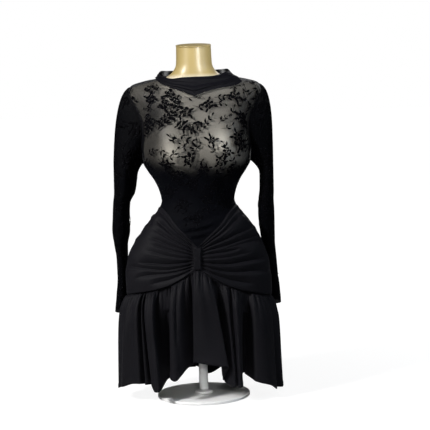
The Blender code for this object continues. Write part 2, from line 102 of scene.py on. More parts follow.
# %% [markdown]
# ## Shader maths in Python
# A material is a small program of nodes. Written out node by node it is hard to read, so a
# thin class wraps a socket: adding or multiplying two of them adds the Math node that does it.
# One method makes every other kind of node from its type, its settings and its inputs.

# %% A socket that Python can calculate with
class Signal:
    """An output socket of a node tree, or the result of a sum on such sockets."""

    def __init__(self, tree, socket):
        self.tree = tree
        self.socket = socket

    def math(self, operation, *values):
        """One Math node on these values, which are signals or plain numbers."""
        made = self.tree.nodes.new("ShaderNodeMath")
        made.operation = operation
        for slot, value in zip(made.inputs, values):
            connect(self.tree, slot, value)
        return Signal(self.tree, made.outputs[0])

    def __add__(self, other):
        return self.math("ADD", self, other)

    def __sub__(self, other):
        return self.math("SUBTRACT", self, other)

    def __mul__(self, other):
        return self.math("MULTIPLY", self, other)

    __radd__ = __add__
    __rmul__ = __mul__

    def sine(self):
        return self.math("SINE", self)

    def clamped(self):
        return self.math("MINIMUM", self.math("MAXIMUM", self, 0.0), 1.0)


def connect(tree, slot, value):
    """Links a signal to an input, or sets the input to a plain value."""
    if isinstance(value, Signal):
        tree.links.new(value.socket, slot)
    else:
        slot.default_value = value


class Finish:
    """A material with a Principled shader, and the nodes that feed it."""

    def __init__(self, name, **fixed):
        self.material = bpy.data.materials.new(name)
        self.material.use_nodes = True
        self.tree = self.material.node_tree
        self.shader = self.tree.nodes["Principled BSDF"]
        self.set(**fixed)

    def set(self, **values):
        """Sets the shader's inputs; an underscore in a name stands for a space."""
        for name, value in values.items():
            connect(self.tree, self.shader.inputs[name.replace("_", " ")], value)

    def node(self, kind, settings, inputs, output=0):
        """Makes one node: its settings first, then its inputs; returns one output."""
        made = self.tree.nodes.new("ShaderNode" + kind)
        for name, value in settings.items():
            setattr(made, name, value)
        for name, value in inputs.items():
            connect(self.tree, made.inputs[name], value)
        return Signal(self.tree, made.outputs[output])

    def place(self):
        """The point in the object, in metres."""
        return self.node("TexCoord", {}, {}, "Object")

    def axis(self, vector, name):
        return self.node("SeparateXYZ", {}, {"Vector": vector}, name)

    def noise(self, scale):
        """Soft spots all over the object; a larger scale makes smaller spots."""
        inputs = {"Vector": self.place(), "Scale": scale, "Detail": NOISE_DETAIL}
        return self.node("TexNoise", {}, inputs, "Fac")

    def cloth(self):
        """The two lengths along the cloth, in metres, from the piece's own UV map."""
        uv = self.node("UVMap", {"uv_map": CLOTH_MAP}, {})
        return self.axis(uv, "X"), self.axis(uv, "Y")

    def cover(self):
        """The cover that a piece stores at each of its points."""
        return self.node("Attribute", {"attribute_name": COVER}, {}, "Fac")

    def blend(self, factor, *ends):
        """A colour between two colours, each of them plain or a blend itself."""
        first, second = (end if isinstance(end, Signal) else (*end, 1) for end in ends)
        return self.node("Mix", {"data_type": "RGBA"}, {0: factor, 6: first, 7: second}, 2)

    def bump(self, height, distance, strength):
        inputs = {"Height": height, "Distance": distance, "Strength": strength}
        return self.node("Bump", {}, inputs, "Normal")


CLOTH_MAP, COVER = "cloth", "cover"
NOISE_DETAIL = 2.0
print("shader helpers ready")

# %% [markdown]
# ## Jersey
# The yoke, the collar and the flounce are matt black stretch jersey. Black cloth is not a black
# paint: its fine loops scatter a soft grey light where the cloth turns away, which is what the
# shader's sheen does. The loops themselves are a bump of two crossed waves that follow the
# cloth's own lengths, and a slow noise keeps large areas from looking dead flat. The collar takes
# a darker copy of the jersey with less sheen: painted shade that holds down the light of the
# neck's narrow beam where it also falls on the collar.

# %% Jersey
TURN = 2 * math.pi
LOOP_WIDTH, LOOP_HEIGHT = 0.0011, 0.0008
KNIT_BUMP = 0.0001
JERSEY_CLOUD = 22.0


def knit(finish, width, height):
    """Rows of small loops: one wave across the cloth times one wave along it."""
    across, along = finish.cloth()
    return (across * (TURN / width)).sine() * (along * (TURN / height)).sine()


def jersey(name, dark, light, sheen, sheer=False):
    made = Finish(name, Sheen_Weight=sheen, Sheen_Roughness=0.45, Specular_IOR_Level=0.10)
    made.set(Sheen_Tint=(0.70, 0.70, 0.80, 1))
    cloud = made.noise(JERSEY_CLOUD)
    made.set(Base_Color=made.blend(cloud, dark, light))
    made.set(Roughness=0.56 + 0.12 * cloud)
    made.set(Normal=made.bump(knit(made, LOOP_WIDTH, LOOP_HEIGHT), KNIT_BUMP, 0.5))
    if sheer:
        made.set(Alpha=made.cover())
    return made.material


JERSEY = jersey("black_jersey", (0.0032, 0.0031, 0.0046), (0.0056, 0.0053, 0.0076), 0.024)
# Painted shade: the collar's jersey is darker than the rest, to hold down the neck beam that falls
# on it.
COLLAR_JERSEY_SHADED = jersey(
    "collar_jersey_painted_shade", (0.0012, 0.0012, 0.0026), (0.0022, 0.0021, 0.0040), 0.010, sheer=True)
print("jersey:", JERSEY.name, COLLAR_JERSEY_SHADED.name)

# %% [markdown]
# ## Sheer net and its flock
# The bodice and the sleeves are a fine black net with flowers of black fibre dust glued on.
# The net is far too fine to model hole by hole, so each surface of its wall lets part of the
# light through: the piece stores how closely the net covers at each point, and the shader
# reads that as its alpha. The flock is a separate, fully matt material on raised motifs.
# The sleeves take a darker copy of the net with less sheen: painted shade that holds down the
# key light falling on them, on the left sleeve most.

# %% Net and flock
CELL = 0.0016
NET_CLOUD, FLOCK_GRAIN = 14.0, 900.0
FINE_BUMP = 0.0002


def net(name, dark, light, sheen):
    made = Finish(name, Roughness=0.70, Specular_IOR_Level=0.04)
    made.set(Sheen_Weight=sheen, Sheen_Roughness=0.5, Sheen_Tint=(0.60, 0.68, 0.90, 1))
    cell, cloud = knit(made, CELL, CELL), made.noise(NET_CLOUD)
    made.set(Base_Color=made.blend(cloud, dark, light))
    made.set(Alpha=(made.cover() + 0.06 * cell + 0.06 * (cloud - 0.5)).clamped())
    made.set(Normal=made.bump(cell, KNIT_BUMP, 0.4))
    return made.material


def flock():
    made = Finish("flock", Specular_IOR_Level=0.03)
    grain = made.noise(FLOCK_GRAIN)
    made.set(Base_Color=made.blend(grain, (0.0010, 0.0010, 0.0014), (0.0026, 0.0024, 0.0034)))
    made.set(Roughness=0.90 + 0.08 * grain)
    made.set(Normal=made.bump(grain, FINE_BUMP, 0.6))
    return made.material


NET = net("sheer_net", (0.0008, 0.0010, 0.0019), (0.0019, 0.0021, 0.0040), 0.008)
# Painted shade: the sleeves' net is darker than the bodice's, to hold down the key light on them.
SLEEVE_NET_SHADED = net("sleeve_net_painted_shade", (0.0004, 0.0005, 0.0010), (0.0009, 0.0010, 0.0020), 0.004)
FLOCK = flock()
print("net and flock ready")

# %% [markdown]
# ## The hard surfaces
# The form's neck is satin, warm gold-beige; under the dress its shell is a paler, greyer cream,
# which is why the sheer net looks grey over it. The change hides behind the collar. The
# neck's plate is the same gold, and the stand is white powder coat with its faint orange peel.

# %% Form and stand
COLLAR_HIDES, GOLD_FADE = 0.893, 0.012
SHELL_CLOUD, SHELL_GRAIN, COAT_PEEL = 9.0, 240.0, 420.0


def form_shell():
    made = Finish("form_shell", Specular_IOR_Level=0.45, Coat_Roughness=0.30)
    cloud = made.noise(SHELL_CLOUD)
    height = made.axis(made.place(), "Z")
    gold = ((height - (COLLAR_HIDES - GOLD_FADE)) * (0.5 / GOLD_FADE)).clamped()
    neck = made.blend(cloud, (0.300, 0.226, 0.086), (0.340, 0.262, 0.108))
    torso = made.blend(cloud, (0.660, 0.620, 0.540), (0.720, 0.680, 0.600))
    made.set(Base_Color=made.blend(gold, torso, neck))
    made.set(Roughness=0.36 + 0.10 * cloud, Coat_Weight=0.25 * gold)
    made.set(Normal=made.bump(made.noise(SHELL_GRAIN), FINE_BUMP, 0.12))
    return made.material


def powder_coat():
    made = Finish("white_powder_coat", Specular_IOR_Level=0.5)
    peel = made.noise(COAT_PEEL)
    made.set(Base_Color=made.blend(peel, (0.80, 0.80, 0.80), (0.86, 0.86, 0.86)))
    made.set(Roughness=0.42 + 0.08 * peel)
    made.set(Normal=made.bump(peel, FINE_BUMP, 0.25))
    return made.material


FORM_SHELL, POWDER_COAT = form_shell(), powder_coat()
print("form and stand ready")

# %% [markdown]
# ## The figure
# The dress and the form follow one figure. A table gives level rings: the height, the half
# width, the depths in front and behind, how square the ring is and how far it is shifted.
# A smooth curve through each column gives a ring at any height. Angle 0 is the centre front,
# 90 the side at +X. The way up is measured along the side, so that rows stay evenly spaced
# over the flat shoulders too.

# %% Tables of the figure
FIGURE = np.array([
    (0.225, 0.182, 0.092, 0.118, 2.2, -0.006), (0.26, 0.195, 0.098, 0.124, 2.2, -0.005),
    (0.3, 0.202, 0.104, 0.128, 2.2, -0.004), (0.34, 0.202, 0.108, 0.13, 2.2, -0.005),
    (0.375, 0.199, 0.109, 0.129, 2.2, -0.006), (0.41, 0.19, 0.107, 0.124, 2.15, -0.0055),
    (0.445, 0.173, 0.103, 0.115, 2.1, -0.003), (0.475, 0.154, 0.099, 0.103, 2.1, -0.001),
    (0.505, 0.132, 0.094, 0.09, 2.05, 0.0), (0.53, 0.111, 0.089, 0.08, 2.0, 0.0),
    (0.555, 0.101, 0.087, 0.074, 2.0, 0.0), (0.58, 0.106, 0.089, 0.075, 2.0, 0.0),
    (0.61, 0.1185, 0.093, 0.079, 2.05, 0.0), (0.64, 0.138, 0.098, 0.084, 2.1, 0.0),
    (0.66, 0.149, 0.101, 0.088, 2.15, 0.0), (0.7, 0.158, 0.105, 0.095, 2.2, 0.0),
    (0.75, 0.166, 0.103, 0.101, 2.2, 0.0), (0.8, 0.175, 0.095, 0.102, 2.15, 0.0),
    (0.835, 0.183, 0.086, 0.096, 2.05, 0.0), (0.856, 0.186, 0.076, 0.082, 2.0, 0.0),
    (0.868, 0.183, 0.069, 0.072, 2.0, 0.0), (0.878, 0.172, 0.063, 0.064, 2.0, 0.0),
    (0.885, 0.15, 0.06, 0.06, 2.0, 0.0), (0.89, 0.128, 0.058, 0.058, 2.0, 0.0),
    (0.894, 0.104, 0.057, 0.056, 2.0, 0.0), (0.902, 0.083, 0.056, 0.054, 2.0, 0.0),
    (0.914, 0.066, 0.055, 0.053, 2.0, 0.0), (0.932, 0.056, 0.0545, 0.051, 2.0, 0.0),
    (0.986, 0.054, 0.054, 0.05, 2.0, 0.0),
])
CUP_APART, CUP_HEIGHT = 0.079, 0.705
CUP_WIDTH, CUP_TALL = 0.048, 0.052
CUP_RISE, CUP_EDGE = 0.026, 4.0
SEAM = 0.0004


def cubic(t, start, leave, end, arrive):
    """The cubic curve from start to end, with the slopes leave and arrive at its ends."""
    first = start * (1 + 2 * t) * (1 - t) ** 2 + leave * t * (1 - t) ** 2
    return first + (end * t * t * (3 - 2 * t) - arrive * t * t * (1 - t))


def monotone(xs, ys, at):
    """A smooth curve through the rows of a table that never overshoots them."""
    xs, ys, at = (np.asarray(a, float) for a in (xs, ys, at))
    step = np.diff(xs)
    rise = np.diff(ys) / step
    before, after = rise[:-1], rise[1:]
    same = before * after > 0
    near, far = 2 * step[1:] + step[:-1], step[1:] + 2 * step[:-1]
    mix = near / np.where(same, before, 1) + far / np.where(same, after, 1)
    slope = np.concatenate(([rise[0]], np.where(same, (near + far) / mix, 0), [rise[-1]]))
    row = np.clip(np.searchsorted(xs, at, side="right") - 1, 0, len(step) - 1)
    t, run = (at - xs[row]) / step[row], step[row]
    return cubic(t, ys[row], slope[row] * run, ys[row + 1], slope[row + 1] * run)


CLIMB = np.concatenate(([0], np.cumsum(np.hypot(*np.diff(FIGURE[:, :2], axis=0).T))))
CLIMB_FINE = np.linspace(0, CLIMB[-1], 2000)
HEIGHT_FINE = monotone(CLIMB, FIGURE[:, 0], CLIMB_FINE)
print("the way up the side is", round(float(CLIMB[-1]), 3), "m long")

# %% Rings of the figure
def climb_at(height):
    """The way up the side at which the figure reaches a height."""
    return np.interp(height, HEIGHT_FINE, CLIMB_FINE)


def height_at(climb):
    return np.interp(climb, CLIMB_FINE, HEIGHT_FINE)


def unit(vectors):
    """The same directions with length one."""
    return vectors / np.linalg.norm(vectors, axis=-1, keepdims=True)


def squared(value, power):
    """A sine or a cosine to the power of two over the squareness, with its own sign."""
    return np.sign(value) * np.abs(value) ** (2 / power)


def figure(angle, climb, cup_rise=CUP_RISE):
    """A superellipse ring at each way up: half width times the sine of the angle, depth times
    its cosine, each to the power of two over the squareness, less two soft cups in front."""
    height, half_width, front, back, power, shift = (
        monotone(CLIMB, column, climb) for column in FIGURE.T)
    across, ahead = np.sin(np.radians(angle)), np.cos(np.radians(angle))
    x = half_width * squared(across, power)
    y = -np.where(ahead > 0, front, back) * squared(ahead, power)
    beside = (np.abs(x) - CUP_APART) / CUP_WIDTH
    above = (height - CUP_HEIGHT) / CUP_TALL
    cups = cup_rise * np.exp(-0.5 * (beside ** 2 + above ** 2)) * np.clip(CUP_EDGE * ahead, 0, 1)
    return np.stack(np.broadcast_arrays(x + shift, y - cups, height), axis=-1)


def steps_along(grid, axis, closed):
    """The step from point to point along an axis; a closed piece runs on past its ends."""
    if not closed:
        return np.gradient(grid, axis=axis)
    count = grid.shape[axis]
    wrapped = np.take(grid, range(-1, count + 1), axis, mode="wrap")
    return np.take(np.gradient(wrapped, axis=axis), range(1, count + 1), axis)


def normals(grid, closed=False):
    """Outward unit normals of a grid: the step round the piece crossed with the step up it."""
    return unit(np.cross(steps_along(grid, 1, closed), np.gradient(grid, axis=0)))


def raised(grid, relief, closed=False):
    """The grid moved out along its normals by the relief."""
    return grid + normals(grid, closed) * relief[..., None]


print("waist ring:", np.round(figure(np.array([0.0, 90.0, 180.0]), climb_at(0.555)), 3).tolist())

# %% [markdown]
# ## Making a piece of cloth
# Every cloth piece is a grid of points, rows upwards and columns round. The helper below puts
# the grid into a mesh, gives it a UV map whose units are metres of cloth, so that a knit has
# the same scale on every piece, thickens it inwards, and says which solid it replaces. A sheet
# also says how large a piece of cloth it was cut from: its longest row, longest column and area.

# %% Grid to cloth
CLOTH_WALL = 0.0010


def grid_faces(rows, columns, closed):
    """Corner numbers of the four-sided faces over a grid, turned outwards."""
    number = np.arange(rows * columns).reshape(rows, columns)
    if closed:
        number = np.concatenate((number, number[:, :1]), axis=1)
    low, high = number[:-1], number[1:]
    return np.stack((low[:, :-1], low[:, 1:], high[:, 1:], high[:, :-1]), -1).reshape(-1, 4)


def lengths(grid):
    """The distance along each row and along each column, from their starts."""
    across = np.linalg.norm(np.diff(grid, axis=1), axis=-1)
    along = np.linalg.norm(np.diff(grid, axis=0), axis=-1)
    across = np.pad(np.cumsum(across, axis=1), ((0, 0), (1, 0)))
    return across, np.pad(np.cumsum(along, axis=0), ((1, 0), (0, 0)))


def mesh_object(name, points, faces, material):
    """A smooth mesh object at the origin."""
    mesh = bpy.data.meshes.new(name)
    mesh.from_pydata(np.asarray(points).tolist(), [], faces)
    mesh.shade_smooth()
    mesh.materials.append(material)
    made = bpy.data.objects.new(name, mesh)
    bpy.context.scene.collection.objects.link(made)
    return made


def belongs(made, node=None):
    """Says what a piece rides on, which solid it replaces, if any."""
    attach(made, "root")
    if node:
        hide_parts(node)


def cloth(name, grid, material, node, held, rests_on, closed=False, cover=None,
          wall=CLOTH_WALL):
    """A thin cloth shell on a grid, in place of one solid."""
    rows, columns = grid.shape[:2]
    faces = grid_faces(rows, columns, closed)
    made = mesh_object(name, grid.reshape(-1, 3), faces.tolist(), material)
    whole = np.concatenate((grid, grid[:, :1]), axis=1) if closed else grid
    across, along = lengths(whole)
    corner = grid_faces(rows, whole.shape[1], False).ravel()
    uv = np.stack((across.ravel()[corner], along.ravel()[corner]), axis=-1)
    made.data.uv_layers.new(name=CLOTH_MAP).data.foreach_set("uv", uv.ravel())
    if cover is not None:
        values = made.data.attributes.new(COVER, "FLOAT", "POINT").data
        values.foreach_set("value", cover.ravel())
    shell = made.modifiers.new("wall", "SOLIDIFY")
    shell.thickness, shell.offset = wall, -1
    belongs(made, node)
    side, up = whole[:-1, 1:] - whole[:-1, :-1], whole[1:, :-1] - whole[:-1, :-1]
    area = float(np.linalg.norm(np.cross(side, up), axis=-1).sum())
    width, length = float(across[:, -1].max()), float(along[-1].max())
    print(f"{name}: {len(faces)} faces, cut {width:.3f} x {length:.3f} m, {area:.4f} m2")
    PIECES[name] = (made, (width, length), area, held, rests_on)


PIECES = {}

# %% [markdown]
# ## Folds placed one by one
# Cloth under tension shows a few long, soft folds. Each fold here is a row of a table: where
# it starts and ends on the piece, how wide and how high it is, and how much it bows. Across
# the line it has the bell shape of a Gaussian, and it dies away at both ends.

# %% Folds
FOLD_END = 0.28
SEAM_FADE = 0.004


def smooth_step(value, start, end):
    """0 before start, 1 after end, an S-curve between."""
    t = np.clip((value - start) / (end - start), 0, 1)
    return t * t * (3 - 2 * t)


def bell(off, width):
    """1 in the middle, falling away on both sides: the Gaussian of distance over width."""
    return np.exp(-(off / width) ** 2)


def between(ends, t):
    """The value at a share of the way from one end to the other."""
    return ends[0] + (ends[1] - ends[0]) * t


def folds(across, up, table):
    """Sum over the rows: height times a bell of the distance from the row's bowed line, times
    a ramp at each end. A negative height is a trough."""
    relief = np.zeros(np.broadcast(across, up).shape)
    for start_x, start_y, end_x, end_y, width, height, bow in table:
        run_x, run_y = end_x - start_x, end_y - start_y
        length = math.hypot(run_x, run_y)
        t = ((across - start_x) * run_x + (up - start_y) * run_y) / length ** 2
        off = ((across - start_x) * run_y - (up - start_y) * run_x) / length
        ends = np.clip(t / FOLD_END, 0, 1) * np.clip((1 - t) / FOLD_END, 0, 1)
        bowed = off - bow * 4 * t * (1 - t)
        relief = relief + height * smooth_step(ends, 0, 1) * bell(bowed, width)
    return relief


def faded(relief, share, height):
    """The relief, brought down to nothing at the lower and the upper seam of a panel."""
    return relief * smooth_step(np.minimum(share, 1 - share) * height, 0, SEAM_FADE)


print("folds ready")

# %% [markdown]
# ## The dress form
# The form is the same figure moved in by the ease of the dress, as one closed shell with a
# flat bottom and a neck that is cut at a slant. Its neck carries a thin plate.

# %% Form
FORM_EASE, FORM_CUP_RISE = 0.0060, 0.022
FORM_LOW, FORM_HIGH = 0.240, 0.9810
FORM_BOTTOM, FORM_EDGE = 0.235, 0.012
FORM_COLUMNS, FORM_ROWS, FOOT_ROWS = 120, 180, 6
NECK_MIDDLE, NECK_BEND, NECK_SLANT = -0.002, 0.950, math.radians(8.0)
SHARP_ANGLE = math.radians(50)
TOUCH = 0.0003


def form_points():
    """Rings of the figure less the ease, then the slanted neck edge and the inset foot."""
    angle = np.linspace(0, 360, FORM_COLUMNS, endpoint=False)
    climb = np.linspace(climb_at(FORM_LOW), climb_at(FORM_HIGH), FORM_ROWS)[:, None]
    grid = figure(angle, climb, FORM_CUP_RISE)
    grid = grid - FORM_EASE * normals(grid, closed=True)
    slant = math.tan(NECK_SLANT) * (grid[..., 1] - NECK_MIDDLE)
    grid[..., 2] += slant * smooth_step(grid[..., 2], NECK_BEND, FORM_HIGH)
    grid[-1, :, 2] = FORM_HIGH + slant[-1]
    turned = np.linspace(0, math.pi / 2, FOOT_ROWS + 1)[1:, None]
    out = unit((grid[0] - grid[0].mean(axis=0))[:, :2])
    foot = np.repeat(grid[:1], FOOT_ROWS, axis=0)
    foot[..., :2] -= FORM_EDGE * (1 - np.cos(turned))[..., None] * out
    foot[..., 2] = FORM_LOW - (FORM_LOW - FORM_BOTTOM) * np.sin(turned)
    return np.concatenate((foot[::-1], grid))


def make_form():
    grid = form_points()
    rows, columns = grid.shape[:2]
    faces = grid_faces(rows, columns, True).tolist()
    faces += [list(range(columns))[::-1], [(rows - 1) * columns + c for c in range(columns)]]
    made = mesh_object("dress_form_shell", grid.reshape(-1, 3), faces, FORM_SHELL)
    made.data.set_sharp_from_angle(angle=SHARP_ANGLE)
    belongs(made, "form_torso")
    print("form faces:", len(faces))


make_form()

# %% [markdown]
# ## Turned pieces
# The neck plate, the pole and the base are turned: a profile of radius and height, carried
# round the axis as one array. Where the profile has an edge, a small arc rounds it.

# %% Turned pieces
ROUND_COLUMNS = 96
POLE_RADIUS = 0.0125
FLANGE_RADIUS, FLANGE_THICK = 0.035, 0.005
BASE_RADIUS, BASE_THICK = 0.130, 0.008
NECK_CAP_RADIUS, NECK_CAP_THICK = 0.0490, 0.0030
SMALL_ROUND, BASE_ROUND, CORNER_SHARE = 0.0012, 0.0022, 0.45


def rounded(profile, radius, steps=4):
    """Cuts each inner corner of a profile back by the radius and bridges it with an arc, here
    the quadratic curve that has the corner as its middle control point."""
    profile = np.asarray(profile, float)
    before, corner, after = profile[:-2], profile[1:-1], profile[2:]
    to_before, to_after = before - corner, after - corner
    sizes = [np.linalg.norm(side, axis=1, keepdims=True) for side in (to_before, to_after)]
    cut = np.minimum(radius, CORNER_SHARE * np.minimum(*sizes))
    start, end = corner + unit(to_before) * cut, corner + unit(to_after) * cut
    t = np.linspace(0, 1, steps + 1)[None, :, None]
    arcs = start[:, None] * (1 - t) ** 2 + corner[:, None] * 2 * t * (1 - t) + end[:, None] * t * t
    return np.concatenate((profile[:1], arcs.reshape(-1, 2), profile[-1:]))


def turned_mesh(name, profile, material, node, tilt=None):
    """Carries a profile round the axis; its first and last points lie on the axis."""
    ring = np.linspace(0, TURN, ROUND_COLUMNS, endpoint=False)
    body = profile[1:-1]
    points = np.stack(np.broadcast_arrays(
        body[:, :1] * np.sin(ring), -body[:, :1] * np.cos(ring), body[:, 1:]), axis=-1)
    poles = [(0, 0, profile[0, 1]), (0, 0, profile[-1, 1])]
    points = np.concatenate((points.reshape(-1, 3), poles))
    bottom = len(points) - 1
    top, low = bottom - 1, bottom - 1 - ROUND_COLUMNS
    faces = grid_faces(len(body), ROUND_COLUMNS, True)[:, ::-1].tolist()
    following = np.roll(np.arange(ROUND_COLUMNS), -1).tolist()
    faces += [(top, c, n) for c, n in enumerate(following)]
    faces += [(bottom, low + n, low + c) for c, n in enumerate(following)]
    made = mesh_object(name, tilt(points) if tilt else points, faces, material)
    made.data.set_sharp_from_angle(angle=SHARP_ANGLE)
    belongs(made, node)
    print(f"{name}: {len(faces)} faces")


def make_stand():
    top, foot = FORM_BOTTOM - TOUCH, BASE_THICK + TOUCH
    pole = [
        (0, top), (FLANGE_RADIUS, top), (FLANGE_RADIUS, top - FLANGE_THICK),
        (POLE_RADIUS, top - 3 * FLANGE_THICK), (POLE_RADIUS, foot + 2 * FLANGE_THICK),
        (2 * POLE_RADIUS, foot + FLANGE_THICK), (2 * POLE_RADIUS, foot), (0, foot),
    ]
    base = [(0, BASE_THICK), (BASE_RADIUS, BASE_THICK), (BASE_RADIUS, 0), (0, 0)]
    pole, base = rounded(pole, SMALL_ROUND), rounded(base, BASE_ROUND, 8)
    turned_mesh("stand_pole_coated", pole, POWDER_COAT, "stand_pole")
    turned_mesh("stand_base_coated", base, POWDER_COAT, "stand_base")


def on_neck(points):
    """Points tilted by the slant of the neck and set down on its top."""
    x, y, z = points.T
    cosine, sine = math.cos(NECK_SLANT), math.sin(NECK_SLANT)
    y, z = y * cosine - z * sine + NECK_MIDDLE, y * sine + z * cosine + FORM_HIGH
    return np.stack((x, y, z), axis=-1)


def make_neck_plate():
    high = TOUCH + NECK_CAP_THICK
    plate = [(0, high), (NECK_CAP_RADIUS, high), (NECK_CAP_RADIUS, TOUCH), (0, TOUCH)]
    plate = rounded(plate, SMALL_ROUND)
    turned_mesh("neck_plate", plate, FORM_SHELL, "form_neck_cap", tilt=on_neck)


make_stand()
make_neck_plate()

# %% [markdown]
# ## Where the panels meet
# The pointed edge between bodice and yoke and the seam between yoke and flounce are curves in
# angle and height. The skirt hangs a few millimetres lower on one side.

# %% Edges
V_EDGE = np.array([
    (0, 0.431), (9, 0.4595), (23, 0.489), (41, 0.517), (69, 0.5367), (90, 0.54), (135, 0.528),
    (180, 0.52),
])
HIP_SEAM = np.array([
    (0, 0.371), (5, 0.3584), (10, 0.3452), (16, 0.3323), (24, 0.3197), (36, 0.3082), (51, 0.2997),
    (70, 0.292), (90, 0.287), (180, 0.287),
])
TILT_DROP = 0.0071


def from_front(angle):
    """The angle from the centre front, the same to the left and to the right."""
    return np.abs((np.asarray(angle, float) + 180) % 360 - 180)


def seam_climb(angle):
    """The way up to the hip seam."""
    height = monotone(*HIP_SEAM.T, from_front(angle))
    return climb_at(height - TILT_DROP * np.sin(np.radians(angle)))


def edge_climb(angle):
    """The way up to the edge between yoke and bodice."""
    return climb_at(monotone(*V_EDGE.T, from_front(angle)))


def part_sides(points, rear):
    """Keeps the front pieces and the back pieces half a seam each side of Y = 0."""
    side = np.maximum(points[..., 1], SEAM / 2) if rear else np.minimum(points[..., 1], -SEAM / 2)
    return np.concatenate((points[..., :1], side[..., None], points[..., 2:]), axis=-1)


print("seam at the front:", round(float(figure(0.0, seam_climb(0.0))[2]), 3), "m up")

# %% [markdown]
# ## The bodice
# The bodice front and back run from the yoke's edge to the neckline. Their side edges are
# bitten into by the armholes. A row number says how far up a row meets the side edge: the
# side seam, then the armhole, then the shoulder. The net clings, so it has few folds: the drag
# lines above the point of the yoke, short pulls at the waist and at the underarms.

# %% Bodice surface
UNDERARM, SHOULDER_POINT = climb_at(np.array([0.660, 0.8745]))
BITE_FRONT, BITE_BACK = 32.0, 29.0
SIDE_SHARE, ARMHOLE_SHARE = 0.375, 0.8125
FRONT_GRID, BACK_GRID = (125, 145), (101, 121)
NECKLINE_FRONT = np.array([
    (0, 0.842), (17, 0.863), (29, 0.876), (46, 0.887), (67, 0.892), (90, 0.8937),
])
NECKLINE_BACK = np.array([
    (0, 0.876), (20, 0.882), (40, 0.889), (61, 0.892), (90, 0.8937),
])
SLUMP, SLUMP_AT, SLUMP_WIDE = 0.014, 38.0, 20.0
METRES_A_DEGREE = 0.0021
BODICE_FRONT_FOLDS = (
    (-0.04, 0.47, 0.036, 0.486, 0.005, -0.0034, 0.003),
    (-0.034, 0.482, 0.046, 0.5, 0.006, 0.0026, 0.003),
    (-0.052, 0.497, 0.03, 0.505, 0.005, -0.0026, -0.002),
    (-0.018, 0.452, 0.022, 0.461, 0.004, -0.0028, 0.001),
    (-0.024, 0.461, 0.026, 0.471, 0.004, 0.0022, 0.001),
    (0.01, 0.507, 0.078, 0.522, 0.006, -0.0014, 0.002),
    (-0.09, 0.53, -0.03, 0.512, 0.006, -0.0012, 0.002),
    (-0.185, 0.585, -0.1, 0.572, 0.0055, -0.0018, 0.004),
    (-0.185, 0.565, -0.11, 0.556, 0.005, 0.0015, 0.002),
    (-0.185, 0.612, -0.12, 0.59, 0.006, -0.0014, 0.003),
    (0.185, 0.6, 0.105, 0.578, 0.0055, -0.0018, -0.004),
    (0.185, 0.576, 0.11, 0.562, 0.005, 0.0015, -0.002),
    (0.185, 0.556, 0.12, 0.548, 0.005, -0.0013, 0.002),
    (-0.16, 0.69, -0.095, 0.72, 0.006, -0.0013, 0.003),
    (0.16, 0.685, 0.1, 0.722, 0.006, -0.0013, -0.003),
    (-0.15, 0.84, -0.08, 0.862, 0.006, 0.0009, 0.003),
    (0.15, 0.835, 0.085, 0.86, 0.006, 0.0009, -0.003),
)
BODICE_BACK_FOLDS = (
    (-0.12, 0.545, 0.11, 0.556, 0.006, -0.002, 0.004),
    (-0.1, 0.566, 0.13, 0.562, 0.006, 0.0016, -0.003),
    (-0.13, 0.584, 0.1, 0.59, 0.007, -0.0016, 0.004),
    (-0.09, 0.606, 0.12, 0.602, 0.007, 0.0012, 0.003),
    (-0.15, 0.69, -0.06, 0.76, 0.008, -0.0013, 0.006),
    (0.15, 0.69, 0.06, 0.77, 0.008, -0.0013, -0.006),
    (-0.11, 0.85, -0.04, 0.8, 0.008, 0.001, 0.004),
    (0.115, 0.85, 0.045, 0.805, 0.008, 0.001, -0.004),
)


def neckline(angle, rear):
    """Height of the neckline. In front it has slumped on one side, by a bell of the angle."""
    away = np.clip(np.abs(angle), 0, 90)
    if rear:
        return monotone(*NECKLINE_BACK.T, away)
    return monotone(*NECKLINE_FRONT.T, away) - SLUMP * bell(angle - SLUMP_AT, SLUMP_WIDE)


def armhole_edge(share, rear):
    """Degrees bitten off the side, a sine over the armhole's share, and the way up to it."""
    bite = (BITE_BACK if rear else BITE_FRONT) * np.sin(math.pi * share)
    return bite, between((UNDERARM, SHOULDER_POINT), share)


def bodice_net(rear):
    """The angle and the way up over a panel's grid."""
    columns, rows = BACK_GRID if rear else FRONT_GRID
    part, row = np.linspace(-1, 1, columns), np.linspace(0, 1, rows)
    middle = 180 if rear else 0
    top = climb_at(neckline(90 * part, rear))
    share = np.clip((row - SIDE_SHARE) / (ARMHOLE_SHARE - SIDE_SHARE), 0, 1)
    bite, armhole = armhole_edge((1 - np.cos(math.pi * share)) / 2, rear)
    side = between((edge_climb(90.0), UNDERARM), row / SIDE_SHARE)
    over = np.clip((row - ARMHOLE_SHARE) / (1 - ARMHOLE_SHARE), 0, 1)
    edge = np.where(row < SIDE_SHARE, side, armhole) + over * (top[0] - SHOULDER_POINT)
    bite = bite * ((row > SIDE_SHARE) & (row < ARMHOLE_SHARE))
    way = (edge - edge[0]) / (edge[-1] - edge[0])
    bottom = edge_climb(90 * part + middle) + SEAM / 2
    return middle + part * (90 - bite[:, None]), bottom + way[:, None] * (top - bottom)


def bodice_relief(angle, climb, rear):
    """The folds of a panel, read at an angle and a way up."""
    table = BODICE_BACK_FOLDS if rear else BODICE_FRONT_FOLDS
    return folds((angle - (180 if rear else 0)) * METRES_A_DEGREE, height_at(climb), table)


print("bodice surface ready")

# %% [markdown]
# The net is sheer over the chest and shoulders and closes to near black below the bust, at
# the sides and on the sleeves. The cover of each wall surface is a smooth function of place:
# light passes four such surfaces at an empty sleeve but only two over the form. Towards each
# arm it rises to a value of its own, over a range of its own, and less so at the shoulder: one
# row of BESIDE for the left, one for the right. COVER_SPOTS are single spots, each with its
# place, its two widths and how much it adds, as where the net is stretched over the bust.

